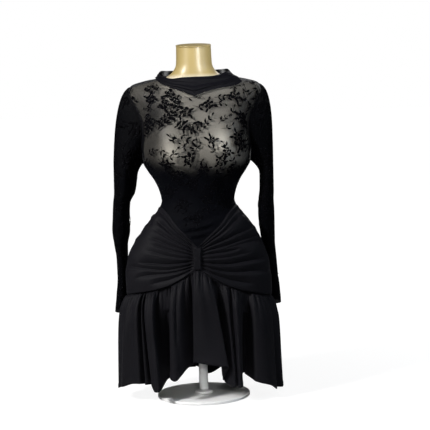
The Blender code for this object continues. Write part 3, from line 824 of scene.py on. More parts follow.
# %% Bodice pieces
COVER_SHEER, COVER_CLOSED = 0.305, 0.87
MORE_BEHIND, MORE_ABOVE = 0.12, 0.045
CHEST_TOP, SHOULDER_BAND = (0.775, 0.825), (0.815, 0.858)
BESIDE = ((0.54, 0.070, 0.120, 0.36), (0.50, 0.080, 0.142, 0.66))
UNDER_BUST, UNDER_BUST_SLOPE = 0.661, 0.06
UNDER_BUST_WAVES = ((0.007, 58.0, 1.0), (0.005, 131.0, 0.0))
FADE_BELOW, FADE_ABOVE = 0.052, 0.017
COVER_SPOTS = (
    (-0.076, 0.689, 0.028, 0.036, -0.23), (0.071, 0.714, 0.028, 0.036, -0.3),
    (0.106, 0.68, 0.028, 0.036, -0.22), (-0.1, 0.792, 0.036, 0.028, 0.12),
)


def cover_of(points, rear):
    """How closely the net covers: least over the chest and least of all where it is stretched
    over the bust, more towards the arms, nearly all below an uneven line under the bust."""
    side, z = points[..., 0], points[..., 2]
    at_arm, near, far, less = (np.where(side < 0, *pair) for pair in zip(*BESIDE))
    beside = smooth_step(np.abs(side), near, far) * (1 - less * smooth_step(z, *SHOULDER_BAND))
    cover = COVER_SHEER + MORE_ABOVE * smooth_step(z, *CHEST_TOP)
    cover = between((cover, at_arm), beside) + (MORE_BEHIND if rear else 0)
    spots = () if rear else COVER_SPOTS
    for x, height, wide, tall, more in spots:
        cover = cover + more * bell(side - x, wide) * bell(z - height, tall)
    line = UNDER_BUST - UNDER_BUST_SLOPE * side
    line = line + sum(size * np.sin(rate * side + shift) for size, rate, shift in UNDER_BUST_WAVES)
    below = 1 - smooth_step(z, line - FADE_BELOW, line + FADE_ABOVE)
    return between((cover, COVER_CLOSED), below)


def make_bodice(rear):
    angle, climb = bodice_net(rear)
    points = raised(figure(angle, climb), bodice_relief(angle, climb, rear))
    points = part_sides(points, rear)
    side = "back" if rear else "front"
    cloth(f"net_bodice_{side}", points, NET, f"bodice_{side}", "stretched",
          ["dress_form_shell"], cover=cover_of(points, rear))


make_bodice(False)
make_bodice(True)

# %% [markdown]
# ## The sleeves
# Each sleeve starts at the armhole, bends over the shoulder as a smooth curve from ring to
# ring, and hangs as an empty tube. Its rings are ellipses whose edges and depth come from a
# table by height. Two families of folds break it up: long ones down its length and short
# slanting ones where the elbow would bend.

# %% Sleeve surface
SLEEVE_LEFT = np.array([
    (0.62, 0.234, 0.168, 0.008, 0.058), (0.58, 0.235, 0.176, 0.012, 0.055),
    (0.55, 0.239, 0.191, 0.016, 0.052), (0.51, 0.242, 0.194, 0.022, 0.05),
    (0.47, 0.245, 0.195, 0.028, 0.048), (0.43, 0.241, 0.203, 0.036, 0.046),
    (0.39, 0.237, 0.204, 0.044, 0.044), (0.34, 0.237, 0.204, 0.054, 0.042),
    (0.29, 0.242, 0.209, 0.064, 0.04), (0.236, 0.249, 0.217, 0.074, 0.038),
])
SLEEVE_RIGHT = np.array([
    (0.62, 0.213, 0.175, 0.008, 0.058), (0.58, 0.213, 0.174, 0.014, 0.056),
    (0.55, 0.212, 0.17, 0.02, 0.053), (0.51, 0.213, 0.168, 0.03, 0.05),
    (0.47, 0.213, 0.171, 0.042, 0.048), (0.43, 0.213, 0.176, 0.056, 0.045),
    (0.39, 0.216, 0.181, 0.069, 0.043), (0.34, 0.221, 0.187, 0.082, 0.041),
    (0.29, 0.227, 0.195, 0.093, 0.039), (0.246, 0.23, 0.198, 0.098, 0.038),
])
CAP_OUT, CAP_FALL, CAP_DROP = (0.120, 0.030), (-0.300, -0.050), 0.020
CAP_SPAN, CAP_CALM = 0.25, 0.25
CAP_ROWS, TUBE_ROWS, SLEEVE_COLUMNS = 52, 101, 88
SLEEVE_RADIUS = 0.045
SLEEVE_COVER, COVER_HEIGHTS = (0.92, 0.75), (0.70, 0.86)
SLEEVE_FOLDS = (
    (0.03, 0.6, 0.06, 0.3, 0.006, 0.0016, 0.006),
    (0.075, 0.78, 0.085, 0.52, 0.007, -0.0018, -0.006),
    (0.105, 0.56, 0.1, 0.27, 0.006, 0.0016, 0.005),
    (0.05, 0.48, 0.12, 0.44, 0.006, -0.002, 0.006),
    (0.045, 0.45, 0.11, 0.425, 0.0055, 0.0018, 0.004),
    (0.055, 0.42, 0.12, 0.395, 0.0055, -0.0016, 0.004),
    (0.13, 0.52, 0.19, 0.47, 0.006, -0.0018, 0.006),
    (0.16, 0.56, 0.235, 0.51, 0.006, 0.0016, 0.006),
    (0.2, 0.44, 0.26, 0.415, 0.0055, -0.0016, 0.004),
    (0.03, 0.33, 0.09, 0.318, 0.0045, -0.0012, 0.002),
    (0.11, 0.3, 0.18, 0.29, 0.0045, 0.0012, 0.002),
    (0.06, 0.276, 0.13, 0.268, 0.004, -0.001, 0.002),
    (0.19, 0.7, 0.21, 0.5, 0.007, 0.0014, 0.005),
    (0.24, 0.56, 0.25, 0.33, 0.006, -0.0014, -0.005),
)
SIDE_NAME = {-1: "left", 1: "right"}
SLEEVES = {-1: (SLEEVE_LEFT, 0.0), 1: (SLEEVE_RIGHT, 0.9)}


def armhole(side, turn):
    """The armhole as a closed ring: its share is half of one plus the cosine of the turn, down
    the front and up the back, drawn in by a seam's width."""
    share = (1 + np.cos(turn)) / 2
    bite_front, climb = armhole_edge(share, False)
    bite_back = armhole_edge(share, True)[0]
    ring = figure(side * np.where(np.sin(turn) < 0, 90 + bite_back, 90 - bite_front), climb)
    ends = figure(side * 90.0, np.array([UNDERARM, SHOULDER_POINT]))
    return ring + 1.5 * SEAM * unit(ends.mean(axis=0) - ring)


def tube_height(table, way):
    """The height at a way down the tube; the cap counts as its top."""
    return between(table[[0, -1], 0], np.clip(way - 1, 0, 1))


def sleeve_surface(side, turn, way):
    """Way 0 to 1 is the cap, a cubic curve from the armhole to the first ring; 1 to 2 is the
    tube, whose ellipse has the table's edges and depths at each height."""
    turn, way = np.broadcast_arrays(turn, way)
    table = SLEEVES[side][0]
    height = tube_height(table, way)
    outer, inner, middle, half = (monotone(-table[:, 0], table[:, c], -height) for c in range(1, 5))
    x = side * ((outer + inner) / 2 + (outer - inner) / 2 * np.cos(turn))
    tube = np.stack((x, middle - half * np.sin(turn), height), axis=-1)
    under = (1 - np.cos(turn)) / 2
    leave, arrive = np.zeros_like(tube), np.zeros_like(tube)
    leave[..., 0] = side * between(CAP_OUT, under)
    leave[..., 2] = -CAP_DROP
    arrive[..., 2] = between(CAP_FALL, under)
    cap = cubic(np.clip(way, 0, 1)[..., None], armhole(side, turn), leave, tube, arrive)
    return np.where(way[..., None] < 1, cap, tube)


def sleeve_relief(side, turn, way):
    """The sleeve's folds, read at the length round the tube and at a level."""
    table, shift = SLEEVES[side]
    level = tube_height(table, way) + CAP_SPAN * np.clip(1 - way, 0, 1)
    around = ((turn + shift) % TURN) * SLEEVE_RADIUS
    return folds(around, level, SLEEVE_FOLDS) * smooth_step(way, 0.0, CAP_CALM)


def make_sleeve(side):
    turn = np.linspace(0, TURN, SLEEVE_COLUMNS, endpoint=False)
    way = np.concatenate((np.linspace(0, 1, CAP_ROWS)[:-1], np.linspace(1, 2, TUBE_ROWS)))[:, None]
    grid, relief = sleeve_surface(side, turn, way), sleeve_relief(side, turn, way)
    if side < 0:
        grid, relief = grid[:, ::-1], relief[:, ::-1]
    points = raised(grid, relief, closed=True)
    cover = between(SLEEVE_COVER, smooth_step(points[..., 2], *COVER_HEIGHTS))
    name = SIDE_NAME[side]
    cloth(f"net_sleeve_{name}", points, SLEEVE_NET_SHADED, f"sleeve_{name}", "hung",
          ["dress_form_shell"], closed=True, cover=cover)


make_sleeve(-1)
make_sleeve(1)

# %% [markdown]
# ## The ruched yoke
# Each half of the yoke is a fan of pleats drawn into the tab at the centre front. A pleat that
# is pulled tight shows as a narrow dark valley between two rounded ridges, so each one is a
# row of a table with its valley: how far out it starts and ends, its share of the yoke's
# height at the start, half way and at the end, and its depth. The yoke opens from 6 to 28
# centimetres, and the pleats widen with it, up to a limit. Where valleys meet, the deepest
# one counts, which keeps the ridges between them full. The last ten rows of each table are
# small creases between the pleats. Soft puffs follow at the sides.

# %% Yoke tables
PLEATS_LEFT = np.array([
    (0.02, 0.85, 0.905, 0.938, 0.95, 0.005), (0.02, 0.68, 0.815, 0.832, 0.86, 0.0052),
    (0.02, 0.64, 0.73, 0.746, 0.752, 0.0034), (0.02, 0.62, 0.65, 0.652, 0.64, 0.0034),
    (0.02, 0.54, 0.56, 0.579, 0.564, 0.003), (0.02, 0.58, 0.45, 0.488, 0.492, 0.0026),
    (0.02, 0.68, 0.345, 0.354, 0.334, 0.0042), (0.02, 1.04, 0.245, 0.286, 0.315, 0.0036),
    (0.02, 0.64, 0.165, 0.209, 0.165, 0.0034), (0.04, 0.44, 0.085, 0.104, 0.09, 0.0028),
    (0.05, 0.46, 0.775, 0.792, 0.806, 0.0012), (0.1, 0.5, 0.69, 0.702, 0.7, 0.0012),
    (0.08, 0.42, 0.605, 0.616, 0.604, 0.0012), (0.05, 0.36, 0.505, 0.532, 0.534, 0.0012),
    (0.1, 0.52, 0.395, 0.424, 0.424, 0.0012), (0.06, 0.42, 0.29, 0.32, 0.314, 0.0012),
    (0.3, 0.82, 0.238, 0.25, 0.24, 0.0009), (0.72, 1.04, 0.88, 0.89, 0.905, 0.0022),
    (0.66, 1.04, 0.8, 0.812, 0.832, 0.0024), (0.7, 1.04, 0.7, 0.715, 0.73, 0.002),
])
PLEATS_RIGHT = np.array([
    (0.02, 0.85, 0.905, 0.934, 0.95, 0.0026), (0.02, 0.74, 0.83, 0.862, 0.886, 0.003),
    (0.02, 0.99, 0.75, 0.716, 0.742, 0.0036), (0.02, 0.95, 0.66, 0.622, 0.655, 0.0036),
    (0.02, 0.46, 0.565, 0.538, 0.528, 0.0034), (0.25, 0.96, 0.592, 0.572, 0.578, 0.0024),
    (0.02, 0.6, 0.44, 0.455, 0.452, 0.0024), (0.02, 0.88, 0.32, 0.366, 0.384, 0.0042),
    (0.02, 1.04, 0.2, 0.251, 0.244, 0.0034), (0.03, 0.52, 0.105, 0.113, 0.106, 0.0032),
    (0.05, 0.5, 0.79, 0.79, 0.8, 0.0013), (0.1, 0.6, 0.705, 0.672, 0.684, 0.0013),
    (0.12, 0.56, 0.61, 0.59, 0.6, 0.0012), (0.05, 0.4, 0.5, 0.5, 0.492, 0.0012),
    (0.1, 0.6, 0.38, 0.412, 0.42, 0.0012), (0.06, 0.5, 0.255, 0.3, 0.312, 0.0012),
    (0.72, 1.04, 0.88, 0.868, 0.872, 0.002), (0.78, 1.04, 0.8, 0.806, 0.816, 0.0022),
    (0.84, 1.04, 0.5, 0.505, 0.512, 0.0016), (0.86, 1.04, 0.44, 0.442, 0.446, 0.0016),
])
PLEATS = 10
SHARP, SHARP_WIDEST = 0.17, 0.0030
BROAD, BROAD_WIDEST, BROAD_SHARE = 0.42, 0.0080, 0.70
LAP, CREST = 2.2, 0.0004
PLEAT_DEEP, DEEPEST = 1.40, 0.0040
PLEAT_START, PLEAT_END = (-0.015, 0.020), (0.66, 1.04)
PLEAT_CROWN, SIDE_CROWN = 0.0066, 0.0016
CROWN_RISE, CROWN_FALL = (0.02, 0.10), (0.80, 1.0)
CENTRE_CUT, BACK_CROWN = 0.03, (50, 90)
YOKE_COLUMNS, YOKE_ROWS, YOKE_CROWD = 112, 200, 1.25
YOKE_BACK_COLUMNS, YOKE_BACK_ROWS = 131, 90
PUFFS_LEFT = (
    (0.23, 0.517, 0.11, 0.5, 0.008, 0.0032, 0), (0.23, 0.484, 0.12, 0.478, 0.008, 0.003, 0),
    (0.23, 0.452, 0.13, 0.446, 0.007, 0.002, 0), (0.225, 0.47, 0.14, 0.462, 0.003, -0.0026, 0),
    (0.225, 0.5, 0.13, 0.49, 0.003, -0.003, 0),
)
PUFFS_RIGHT = (
    (0.23, 0.52, 0.12, 0.515, 0.008, 0.002, 0), (0.23, 0.47, 0.14, 0.475, 0.007, 0.0018, 0),
    (0.225, 0.436, 0.16, 0.432, 0.0035, -0.0022, 0),
    (0.225, 0.404, 0.165, 0.402, 0.003, -0.002, 0),
    (0.225, 0.374, 0.17, 0.375, 0.003, -0.0018, 0),
    (0.225, 0.34, 0.168, 0.338, 0.003, -0.0016, 0),
)
YOKE_BACK_FOLDS = (
    (-0.165, 0.47, 0.02, 0.49, 0.005, -0.0024, 0.006),
    (-0.02, 0.45, 0.165, 0.44, 0.005, -0.0022, -0.006),
    (-0.16, 0.425, -0.04, 0.44, 0.006, 0.0016, 0.005),
    (0.03, 0.505, 0.15, 0.49, 0.005, 0.0017, 0.004),
    (-0.15, 0.5, -0.06, 0.512, 0.005, -0.0018, 0.003),
    (-0.185, 0.36, -0.08, 0.375, 0.006, -0.0018, 0.006),
    (0.07, 0.385, 0.185, 0.365, 0.006, -0.0018, 0.006),
    (-0.06, 0.34, 0.07, 0.332, 0.007, 0.0014, 0.006),
    (0.09, 0.33, 0.185, 0.32, 0.006, 0.0014, 0.003),
)
print("pleats:", len(PLEATS_LEFT) + len(PLEATS_RIGHT))

# %% Yoke pieces
def valleys(out, share, height, table):
    """The deepest of the rows at each point: depth times a sharp bell of the distance from the
    row's bowed line, and a broad one. Both widths are shares of the pitch of the pleats, so the
    fan opens evenly; on the upper side they are wider by the lap, as the cloth laps downwards."""
    relief = np.zeros(np.broadcast(out, share).shape)
    pitch = height / PLEATS
    sharp, broad = np.minimum(SHARP * pitch, SHARP_WIDEST), np.minimum(BROAD * pitch, BROAD_WIDEST)
    for start, end, low, middle, high, depth in table:
        t = (out - start) / (end - start)
        along = np.clip(t, 0, 1)
        line = low + (high - low) * along + (4 * middle - 2 * (low + high)) * along * (1 - along)
        off = (share - line) * height
        off = np.sqrt(off ** 2 + CREST ** 2) / np.where(off < 0, 1, LAP)
        begun = smooth_step(out, start + PLEAT_START[0], start + PLEAT_START[1])
        fade = begun * (1 - smooth_step(t, *PLEAT_END))
        section = np.exp(-off / sharp) + BROAD_SHARE * bell(off, broad)
        relief = np.minimum(relief, -PLEAT_DEEP * depth * fade * section)
    return relief


def yoke_grid(angle, rows):
    """For a panel of the yoke: its rows as shares of the height, its height and the way up."""
    share = np.linspace(0, 1, rows)[:, None]
    bottom = seam_climb(angle) + SEAM / 2
    height = edge_climb(angle) - SEAM / 2 - bottom
    return share, height, bottom + share * height


def make_yoke_front(side, pleats, puffs):
    """Half of the front yoke, from the tab to one side."""
    out = between((CENTRE_CUT, 90), np.linspace(0, 1, YOKE_COLUMNS) ** YOKE_CROWD) / 90
    share, height, climb = yoke_grid(side * 90 * out, YOKE_ROWS)
    relief = valleys(out, share, height, pleats)
    relief = relief + folds(90 * out * METRES_A_DEGREE, height_at(climb), puffs)
    crown = between((PLEAT_CROWN, SIDE_CROWN), smooth_step(out, *CROWN_FALL))
    relief = np.maximum(relief + crown * smooth_step(out, *CROWN_RISE), -DEEPEST)
    points, relief = figure(side * 90 * out, climb), faded(relief, share, height)
    if side < 0:
        points, relief = points[:, ::-1], relief[:, ::-1]
    name = f"yoke_front_{SIDE_NAME[side]}"
    cloth(f"jersey_{name}", part_sides(raised(points, relief), False), JERSEY, name,
          "gathered", ["dress_form_shell"])


def make_yoke_back():
    """The plain back of the yoke, with a few soft drag folds."""
    angle = np.linspace(90, 270, YOKE_BACK_COLUMNS)
    share, height, climb = yoke_grid(angle, YOKE_BACK_ROWS)
    relief = folds((angle - 180) * METRES_A_DEGREE, height_at(climb), YOKE_BACK_FOLDS)
    relief = relief + SIDE_CROWN * smooth_step(np.abs(angle - 180), *BACK_CROWN)
    points = raised(figure(angle, climb), faded(relief, share, height))
    cloth("jersey_yoke_back", part_sides(points, True), JERSEY, "yoke_back",
          "stretched", ["dress_form_shell"])


make_yoke_front(-1, PLEATS_LEFT, PUFFS_LEFT)
make_yoke_front(1, PLEATS_RIGHT, PUFFS_RIGHT)
make_yoke_back()

# %% [markdown]
# ## The centre tab
# A narrow strip covers the place where all the pleats end. Its long edges are turned under, so
# it is a little thicker there, and the pull of the pleats leaves faint ripples in it.

# %% Centre tab
TAB_WIDTH, TAB_CROWN = 0.020, 0.0006
TAB_OUT, TAB_WALL = 0.0039, 0.0022
TAB_ROWS, TAB_COLUMNS = 61, 33
TAB_TURN, TAB_TURN_AT, TAB_TURN_WIDE = 0.0005, 0.80, 0.12
TAB_RIPPLE = 0.0003


def make_tab():
    """A strip moved out from the yoke's middle: a low crown across it, turned edges, ripples."""
    up = np.linspace(seam_climb(0.0) + SEAM, edge_climb(0.0) - SEAM, TAB_ROWS)[:, None]
    row, across = np.linspace(0, 1, TAB_ROWS)[:, None], np.linspace(-1, 1, TAB_COLUMNS)
    points = figure(0 * across, up)
    turned = TAB_TURN * bell(np.abs(across) - TAB_TURN_AT, TAB_TURN_WIDE)
    ripple = TAB_RIPPLE * np.sin(21 * row + 2.0 * across) * np.sin(math.pi * row)
    narrow = 1 - 0.05 * np.sin(math.pi * row) - 0.02 * np.sin(9 * row)
    points[..., 0] += across * TAB_WIDTH / 2 * narrow
    points[..., 1] -= TAB_OUT + TAB_CROWN * (1 - across ** 2) + turned + ripple
    cloth("jersey_centre_tab", points, JERSEY, "centre_tab", "stretched",
          ["jersey_yoke_front_left", "jersey_yoke_front_right"], wall=TAB_WALL)


make_tab()

# %% [markdown]
# ## The collar
# The collar is a doubled band: the cloth runs up from the neckline, folds over at the top and
# comes down inside. Its section is one path, outside up, round the fold and inside down, and
# that path is carried round the neck. The band is soft, so its top edge sags in front, stands
# up behind and has one deep dent at the left of the front, and its lower edge has slumped on
# the right. Beside the nape it is stretched thin, so a little light comes through there.

# %% Collar
COLLAR_HALF_WIDTH, COLLAR_FRONT, COLLAR_BACK = 0.1000, 0.0690, 0.0620
COLLAR_SWELL, COLLAR_FOLD, COLLAR_WALL = 0.0030, 0.0013, 0.0009
COLLAR_COLUMNS, OUTER_ROWS, FOLD_ROWS, INNER_ROWS, INNER_END = 180, 40, 9, 24, 0.33
NECK_SHARE, COLLAR_CALM = 0.75, 0.12
COLLAR_SHEER, SHEER_AT, SHEER_WIDE, SHEER_RISE = 0.36, 128, 11, (0.15, 0.60)
COLLAR_TOP = np.array([
    (-180, 0.913), (-140, 0.915), (-115, 0.915), (-90, 0.906), (-70, 0.901), (-55, 0.8965),
    (-43, 0.8915), (-34, 0.8905), (-22, 0.8925), (0, 0.8935), (22, 0.894), (38, 0.8965),
    (50, 0.901), (62, 0.906), (74, 0.908), (92, 0.909), (115, 0.916), (140, 0.915), (180, 0.913),
])
COLLAR_FOLDS = (
    (-0.11, 0.75, -0.015, 0.42, 0.11, -0.003, 0.02),
    (-0.095, 0.45, 0.01, 0.22, 0.12, 0.0022, 0.02), (-0.12, 0.25, -0.05, 0.15, 0.1, -0.0018, 0.0),
    (0.02, 0.5, 0.11, 0.62, 0.13, -0.002, 0.03), (0.035, 0.28, 0.12, 0.36, 0.11, 0.0018, 0.02),
    (0.0, 0.8, 0.06, 0.84, 0.09, 0.0012, 0.02), (0.13, 0.5, 0.23, 0.55, 0.14, -0.0016, 0.02),
    (-0.24, 0.55, -0.14, 0.5, 0.14, -0.0016, 0.02),
)


def collar_path():
    """How far up each row lies, and its turn over the fold: outer layer, fold, inner layer."""
    fold = np.linspace(0, math.pi, FOLD_ROWS + 2)[1:-1]
    inner = np.linspace(1, INNER_END, INNER_ROWS)
    path = np.concatenate((np.linspace(0, 1, OUTER_ROWS), np.ones(FOLD_ROWS), inner))
    arc = np.concatenate((np.zeros(OUTER_ROWS), fold, np.full(INNER_ROWS, math.pi)))
    return path[:, None], arc[:, None]


def make_collar():
    """Outer layer, half circle over the top, inner layer down to a third of the height."""
    turn = np.linspace(-180, 180, COLLAR_COLUMNS + 1)[:-1]
    front, back = neckline(turn, False), neckline(180 - np.abs(turn), True)
    base = figure(turn, climb_at(np.where(np.abs(turn) <= 90, front, back)))
    base[:, 2] += SEAM
    around = np.arctan2(base[:, 0] / COLLAR_HALF_WIDTH, -base[:, 1] / COLLAR_FRONT)
    degrees = np.degrees(around)
    across, ahead = np.sin(around), np.cos(around)
    reach = np.where(ahead > 0, COLLAR_FRONT, COLLAR_BACK)
    top_height = monotone(*COLLAR_TOP.T, degrees)
    top = np.stack((COLLAR_HALF_WIDTH * across, -reach * ahead, top_height), axis=-1)
    out = np.stack((across, -ahead, 0 * around), axis=-1)
    path, arc = collar_path()
    relief = folds(degrees * METRES_A_DEGREE * NECK_SHARE, path, COLLAR_FOLDS)
    relief = relief * smooth_step(path, 0, COLLAR_CALM) - COLLAR_FOLD * (1 - np.cos(arc))
    relief = relief + COLLAR_SWELL * np.sin(math.pi * path)
    grid = base + path[..., None] * (top - base) + relief[..., None] * out
    grid[..., 2] += COLLAR_FOLD * np.sin(arc)
    thin = bell(np.abs(degrees) - SHEER_AT, SHEER_WIDE) * smooth_step(path, *SHEER_RISE)
    cloth("jersey_collar", grid, COLLAR_JERSEY_SHADED, "collar", "folded",
          ["dress_form_shell"], closed=True, cover=between((1, COLLAR_SHEER), thin),
          wall=COLLAR_WALL)


make_collar()

# %% [markdown]
# ## The flounce
# The flounce is a long strip gathered onto the hip seam. Two scales of wave share its cloth.
# The large ones are a table of ridges and hollows: the angle at the seam, the angle at the
# hem, how far the cloth stands out and the height of the hem. Where an angle steps back, the
# cloth folds over itself and leaves a black gap. The small gathers under the seam come from a
# seeded random generator, each with its own width, depth and length, because no two are
# alike. Its lowest centimetre is turned up twice, which makes it a little thicker.

# %% Flounce tables
HEM_HALF_WIDTH, HEM_FRONT, HEM_BACK = 0.2185, 0.1300, 0.1520
HEM_POWER, HEM_SHIFT = 2.15, -0.0075
FLARE_POWER, HANG_POWER, WAVE_GROWTH = 9.0, 0.9, 0.40
WAVES_FRONT = np.array([
    (-90, -90, 0.011, 0.033), (-86, -84, 0.012, 0.032), (-76, -76, 0.01, 0.038),
    (-64, -68, 0.014, 0.043), (-57, -57, 0.006, 0.054), (-50, -46.5, 0.011, 0.059),
    (-47, -43.5, -0.024, 0.055), (-45.8, -41.2, 0.0, 0.056), (-44.4, -36.6, -0.032, 0.054),
    (-42, -35.0, 0.004, 0.058), (-38.3, -31.4, 0.014, 0.04), (-34.6, -28.2, 0.019, 0.041),
    (-31, -25.5, -0.026, 0.068), (-24, -20.5, -0.052, 0.074), (-20.5, -17.5, -0.046, 0.1),
    (-18.2, -19.2, 0.004, 0.08), (-15.5, -16, 0.015, 0.071), (-11, -12.5, 0.006, 0.083),
    (-7.6, -8.4, -0.014, 0.102), (-3.6, -1.8, -0.04, 0.114), (-2.4, -3.0, -0.008, 0.119),
    (-1.0, -2.4, 0.006, 0.121), (3.5, 6, 0.01, 0.1125), (6.5, 14, 0.012, 0.107),
    (8.4, 18.4, 0.011, 0.103), (9.8, 15.5, -0.026, 0.064), (12.0, 19.0, -0.046, 0.055),
    (18.4, 22.2, -0.006, 0.048), (20.4, 23.6, 0.006, 0.0475), (22.8, 25.6, -0.01, 0.048),
    (26.5, 27.5, 0.011, 0.046), (30.0, 29.6, 0.003, 0.047), (33, 31.5, -0.024, 0.07),
    (37, 37, -0.048, 0.074), (40.5, 42, -0.052, 0.07), (43.5, 42.5, 0.0, 0.058),
    (51.8, 55, 0.016, 0.042), (63, 66, 0.01, 0.025), (69, 74, -0.007, 0.026),
    (78, 80, 0.012, 0.024), (86, 86, 0.012, 0.025), (90, 90, 0.01, 0.024),
])
WAVES_BACK = np.array([
    (90, 90, 0.01, 0.024), (93, 93, 0.01, 0.024), (100, 100, -0.01, 0.028),
    (103, 101, -0.018, 0.028), (110, 109, 0.013, 0.026), (119, 120, 0.01, 0.034),
    (122, 121, -0.024, 0.04), (126, 125, -0.026, 0.038), (132, 133, 0.012, 0.034),
    (140, 141, 0.007, 0.042), (143, 145, -0.026, 0.047), (151, 152, 0.013, 0.042),
    (159, 160, 0.011, 0.046), (163, 163, -0.03, 0.056), (167, 166, -0.02, 0.052),
    (174, 176, 0.012, 0.026), (182, 182, 0.005, 0.05), (186, 184, -0.03, 0.056),
    (190, 190, -0.024, 0.054), (196, 196, 0.013, 0.05), (205, 203, 0.008, 0.053),
    (208, 207, -0.026, 0.055), (217, 218, 0.012, 0.044), (226, 224, 0.009, 0.046),
    (229, 228, -0.028, 0.049), (234, 233, -0.014, 0.046), (239, 239, 0.013, 0.038),
    (247, 247, 0.008, 0.042), (250, 251, -0.02, 0.043), (258, 258, 0.012, 0.036),
    (266, 266, 0.01, 0.033), (270, 270, 0.011, 0.033),
])
GATHERS, GATHER_JITTER, GATHER_WIDENS = 50, 0.35, 3.0
GATHER_LIFT, LIFT_FADE, GATHER_START, GATHER_FADE = 0.0032, 0.02, 0.025, 1.3
GATHER_WIDTH, GATHER_DEPTH, GATHER_SLANT = (0.0016, 0.0034), (0.0060, 0.0125), 0.020
LONG_SHARE, LONG_REACH, SHORT_REACH, REACH_RANGE = 0.25, 0.60, 0.26, (0.6, 1.3)
RIPPLES, RIPPLE_JITTER, RIPPLE_WIDENS = 24, 0.25, 0.8
RIPPLE_START, RIPPLE_CALM, CALM_SHARE = (0.01, 0.20), (0.45, 1.0), 0.65
RIPPLE_WIDTH, RIPPLE_DEPTH, RIPPLE_SLANT = (0.0040, 0.0090), (0.0012, 0.0042), 0.030
HEM_TURN, HEM_TURN_FADE, HEM_TURN_THICK = 0.012, 0.0015, 0.0011
FORM_ROOM, ROOM_BELOW, FORM_ENDS = 0.0030, 0.06, (0.24, 0.36)
FLOUNCE_ENDS = 0.02
FLOUNCE_FRONT_COLUMNS, FLOUNCE_BACK_COLUMNS, FLOUNCE_ROWS = 481, 391, 60
print("waves:", len(WAVES_FRONT), "rows in front,", len(WAVES_BACK), "behind")

# %% Flounce pieces
def gathers(across, down, seed):
    """Many narrow valleys below the seam and wider ripples under them. Each has its own place
    along the seam, width, depth, length and slant. A valley is the exponential of minus the
    distance over its width, a ripple the bell of it; both widen and fade downwards."""
    draw = np.random.default_rng(seed).uniform
    across, down = across[None, :, None], down[:, :1, None]

    def places(count, jitter):
        return (np.arange(count) + 0.5 + draw(-jitter, jitter, count)) * across.max() / count

    place = places(GATHERS, GATHER_JITTER)
    width = draw(*GATHER_WIDTH, GATHERS) * (1 + GATHER_WIDENS * down)
    depth = draw(*GATHER_DEPTH, GATHERS)
    reach = np.where(draw(0, 1, GATHERS) < LONG_SHARE, LONG_REACH, SHORT_REACH)
    reach = reach * draw(*REACH_RANGE, GATHERS)
    slant = draw(-GATHER_SLANT, GATHER_SLANT, GATHERS)
    off = np.sqrt((across - place - slant * down) ** 2 + CREST ** 2)
    fade = np.clip(1 - down / reach, 0, 1) ** GATHER_FADE * smooth_step(down, 0, GATHER_START)
    narrow = (depth * fade * np.exp(-off / width)).sum(axis=-1)
    place = places(RIPPLES, RIPPLE_JITTER)
    width = draw(*RIPPLE_WIDTH, RIPPLES) * (1 + RIPPLE_WIDENS * down)
    depth = draw(*RIPPLE_DEPTH, RIPPLES)
    slant = draw(-RIPPLE_SLANT, RIPPLE_SLANT, RIPPLES)
    calm = CALM_SHARE * smooth_step(down, *RIPPLE_CALM)
    fade = smooth_step(down, *RIPPLE_START) * (1 - calm)
    wide = (depth * fade * bell(across - place - slant * down, width)).sum(axis=-1)
    return GATHER_LIFT * smooth_step(down[..., 0], 0, LIFT_FADE) - narrow - wide


def flounce_grid(waves, columns, reach):
    """The hip seam flares to the hem's ring, and the large waves grow on the way down. A hollow
    is no deeper than the room between the flared cloth and the form inside it."""
    count = len(waves)
    part = np.linspace(0, 1, columns)
    seam, hem, stand, low = (
        monotone(np.arange(count), column, part * (count - 1)) for column in waves.T)
    down = np.linspace(1, 0, FLOUNCE_ROWS)[:, None]
    angle = between((seam, hem), down ** HANG_POWER)
    across, ahead = np.sin(np.radians(angle)), np.cos(np.radians(angle))
    start = figure(angle, seam_climb(seam) - SEAM)
    x = HEM_HALF_WIDTH * squared(across, HEM_POWER) + HEM_SHIFT
    y = -reach * squared(ahead, HEM_POWER)
    out = unit(np.stack((across / HEM_HALF_WIDTH, -ahead / reach), axis=-1))
    flare = 1 - (1 - down) ** FLARE_POWER
    away = flare[..., None] * (np.stack((x, y), -1) - start[..., :2])
    room = (away * out).sum(axis=-1) + FORM_ROOM + ROOM_BELOW * smooth_step(down, *FORM_ENDS)
    grow = np.maximum(stand * down ** WAVE_GROWTH, -room)
    height = between((start[..., 2], low), down)
    flat = start[..., :2] + away + out * grow[..., None]
    return np.concatenate((flat, height[..., None]), axis=-1), part, down, grow + room


def make_flounce(name, waves, columns, reach, seed, rests_on):
    grid, part, down, room = flounce_grid(waves, columns, reach)
    across = lengths(grid[-1:])[0][0]
    sides = smooth_step(np.minimum(part, 1 - part), 0, FLOUNCE_ENDS)
    relief = np.maximum(gathers(across, down, seed) * sides, -room)
    drop = grid[..., 2] - grid[:1, :, 2]
    hem = 1 - smooth_step(drop, HEM_TURN - HEM_TURN_FADE, HEM_TURN + HEM_TURN_FADE)
    points = part_sides(raised(grid, relief + HEM_TURN_THICK * hem), name == "back")
    cloth(f"jersey_flounce_{name}", points, JERSEY, f"flounce_{name}",
          "gathered", [rests_on])


make_flounce("front", WAVES_FRONT, FLOUNCE_FRONT_COLUMNS, HEM_FRONT, 11, "jersey_yoke_front_left")
make_flounce("back", WAVES_BACK, FLOUNCE_BACK_COLUMNS, HEM_BACK, 12, "jersey_yoke_back")

# %% [markdown]
# ## Flowers and leaves
# The flocked pattern is roses and leaf sprays. Every petal and every leaf is one closed, very
# low pillow: an outline on the cloth, five raised points down its middle and a flat back.
# All of them share that template, and arrays place them. To lie on a curved panel without
# stretching, a motif's flat millimetres are turned into steps of the panel's own two
# parameters, using how far the surface moves for a small step of each.

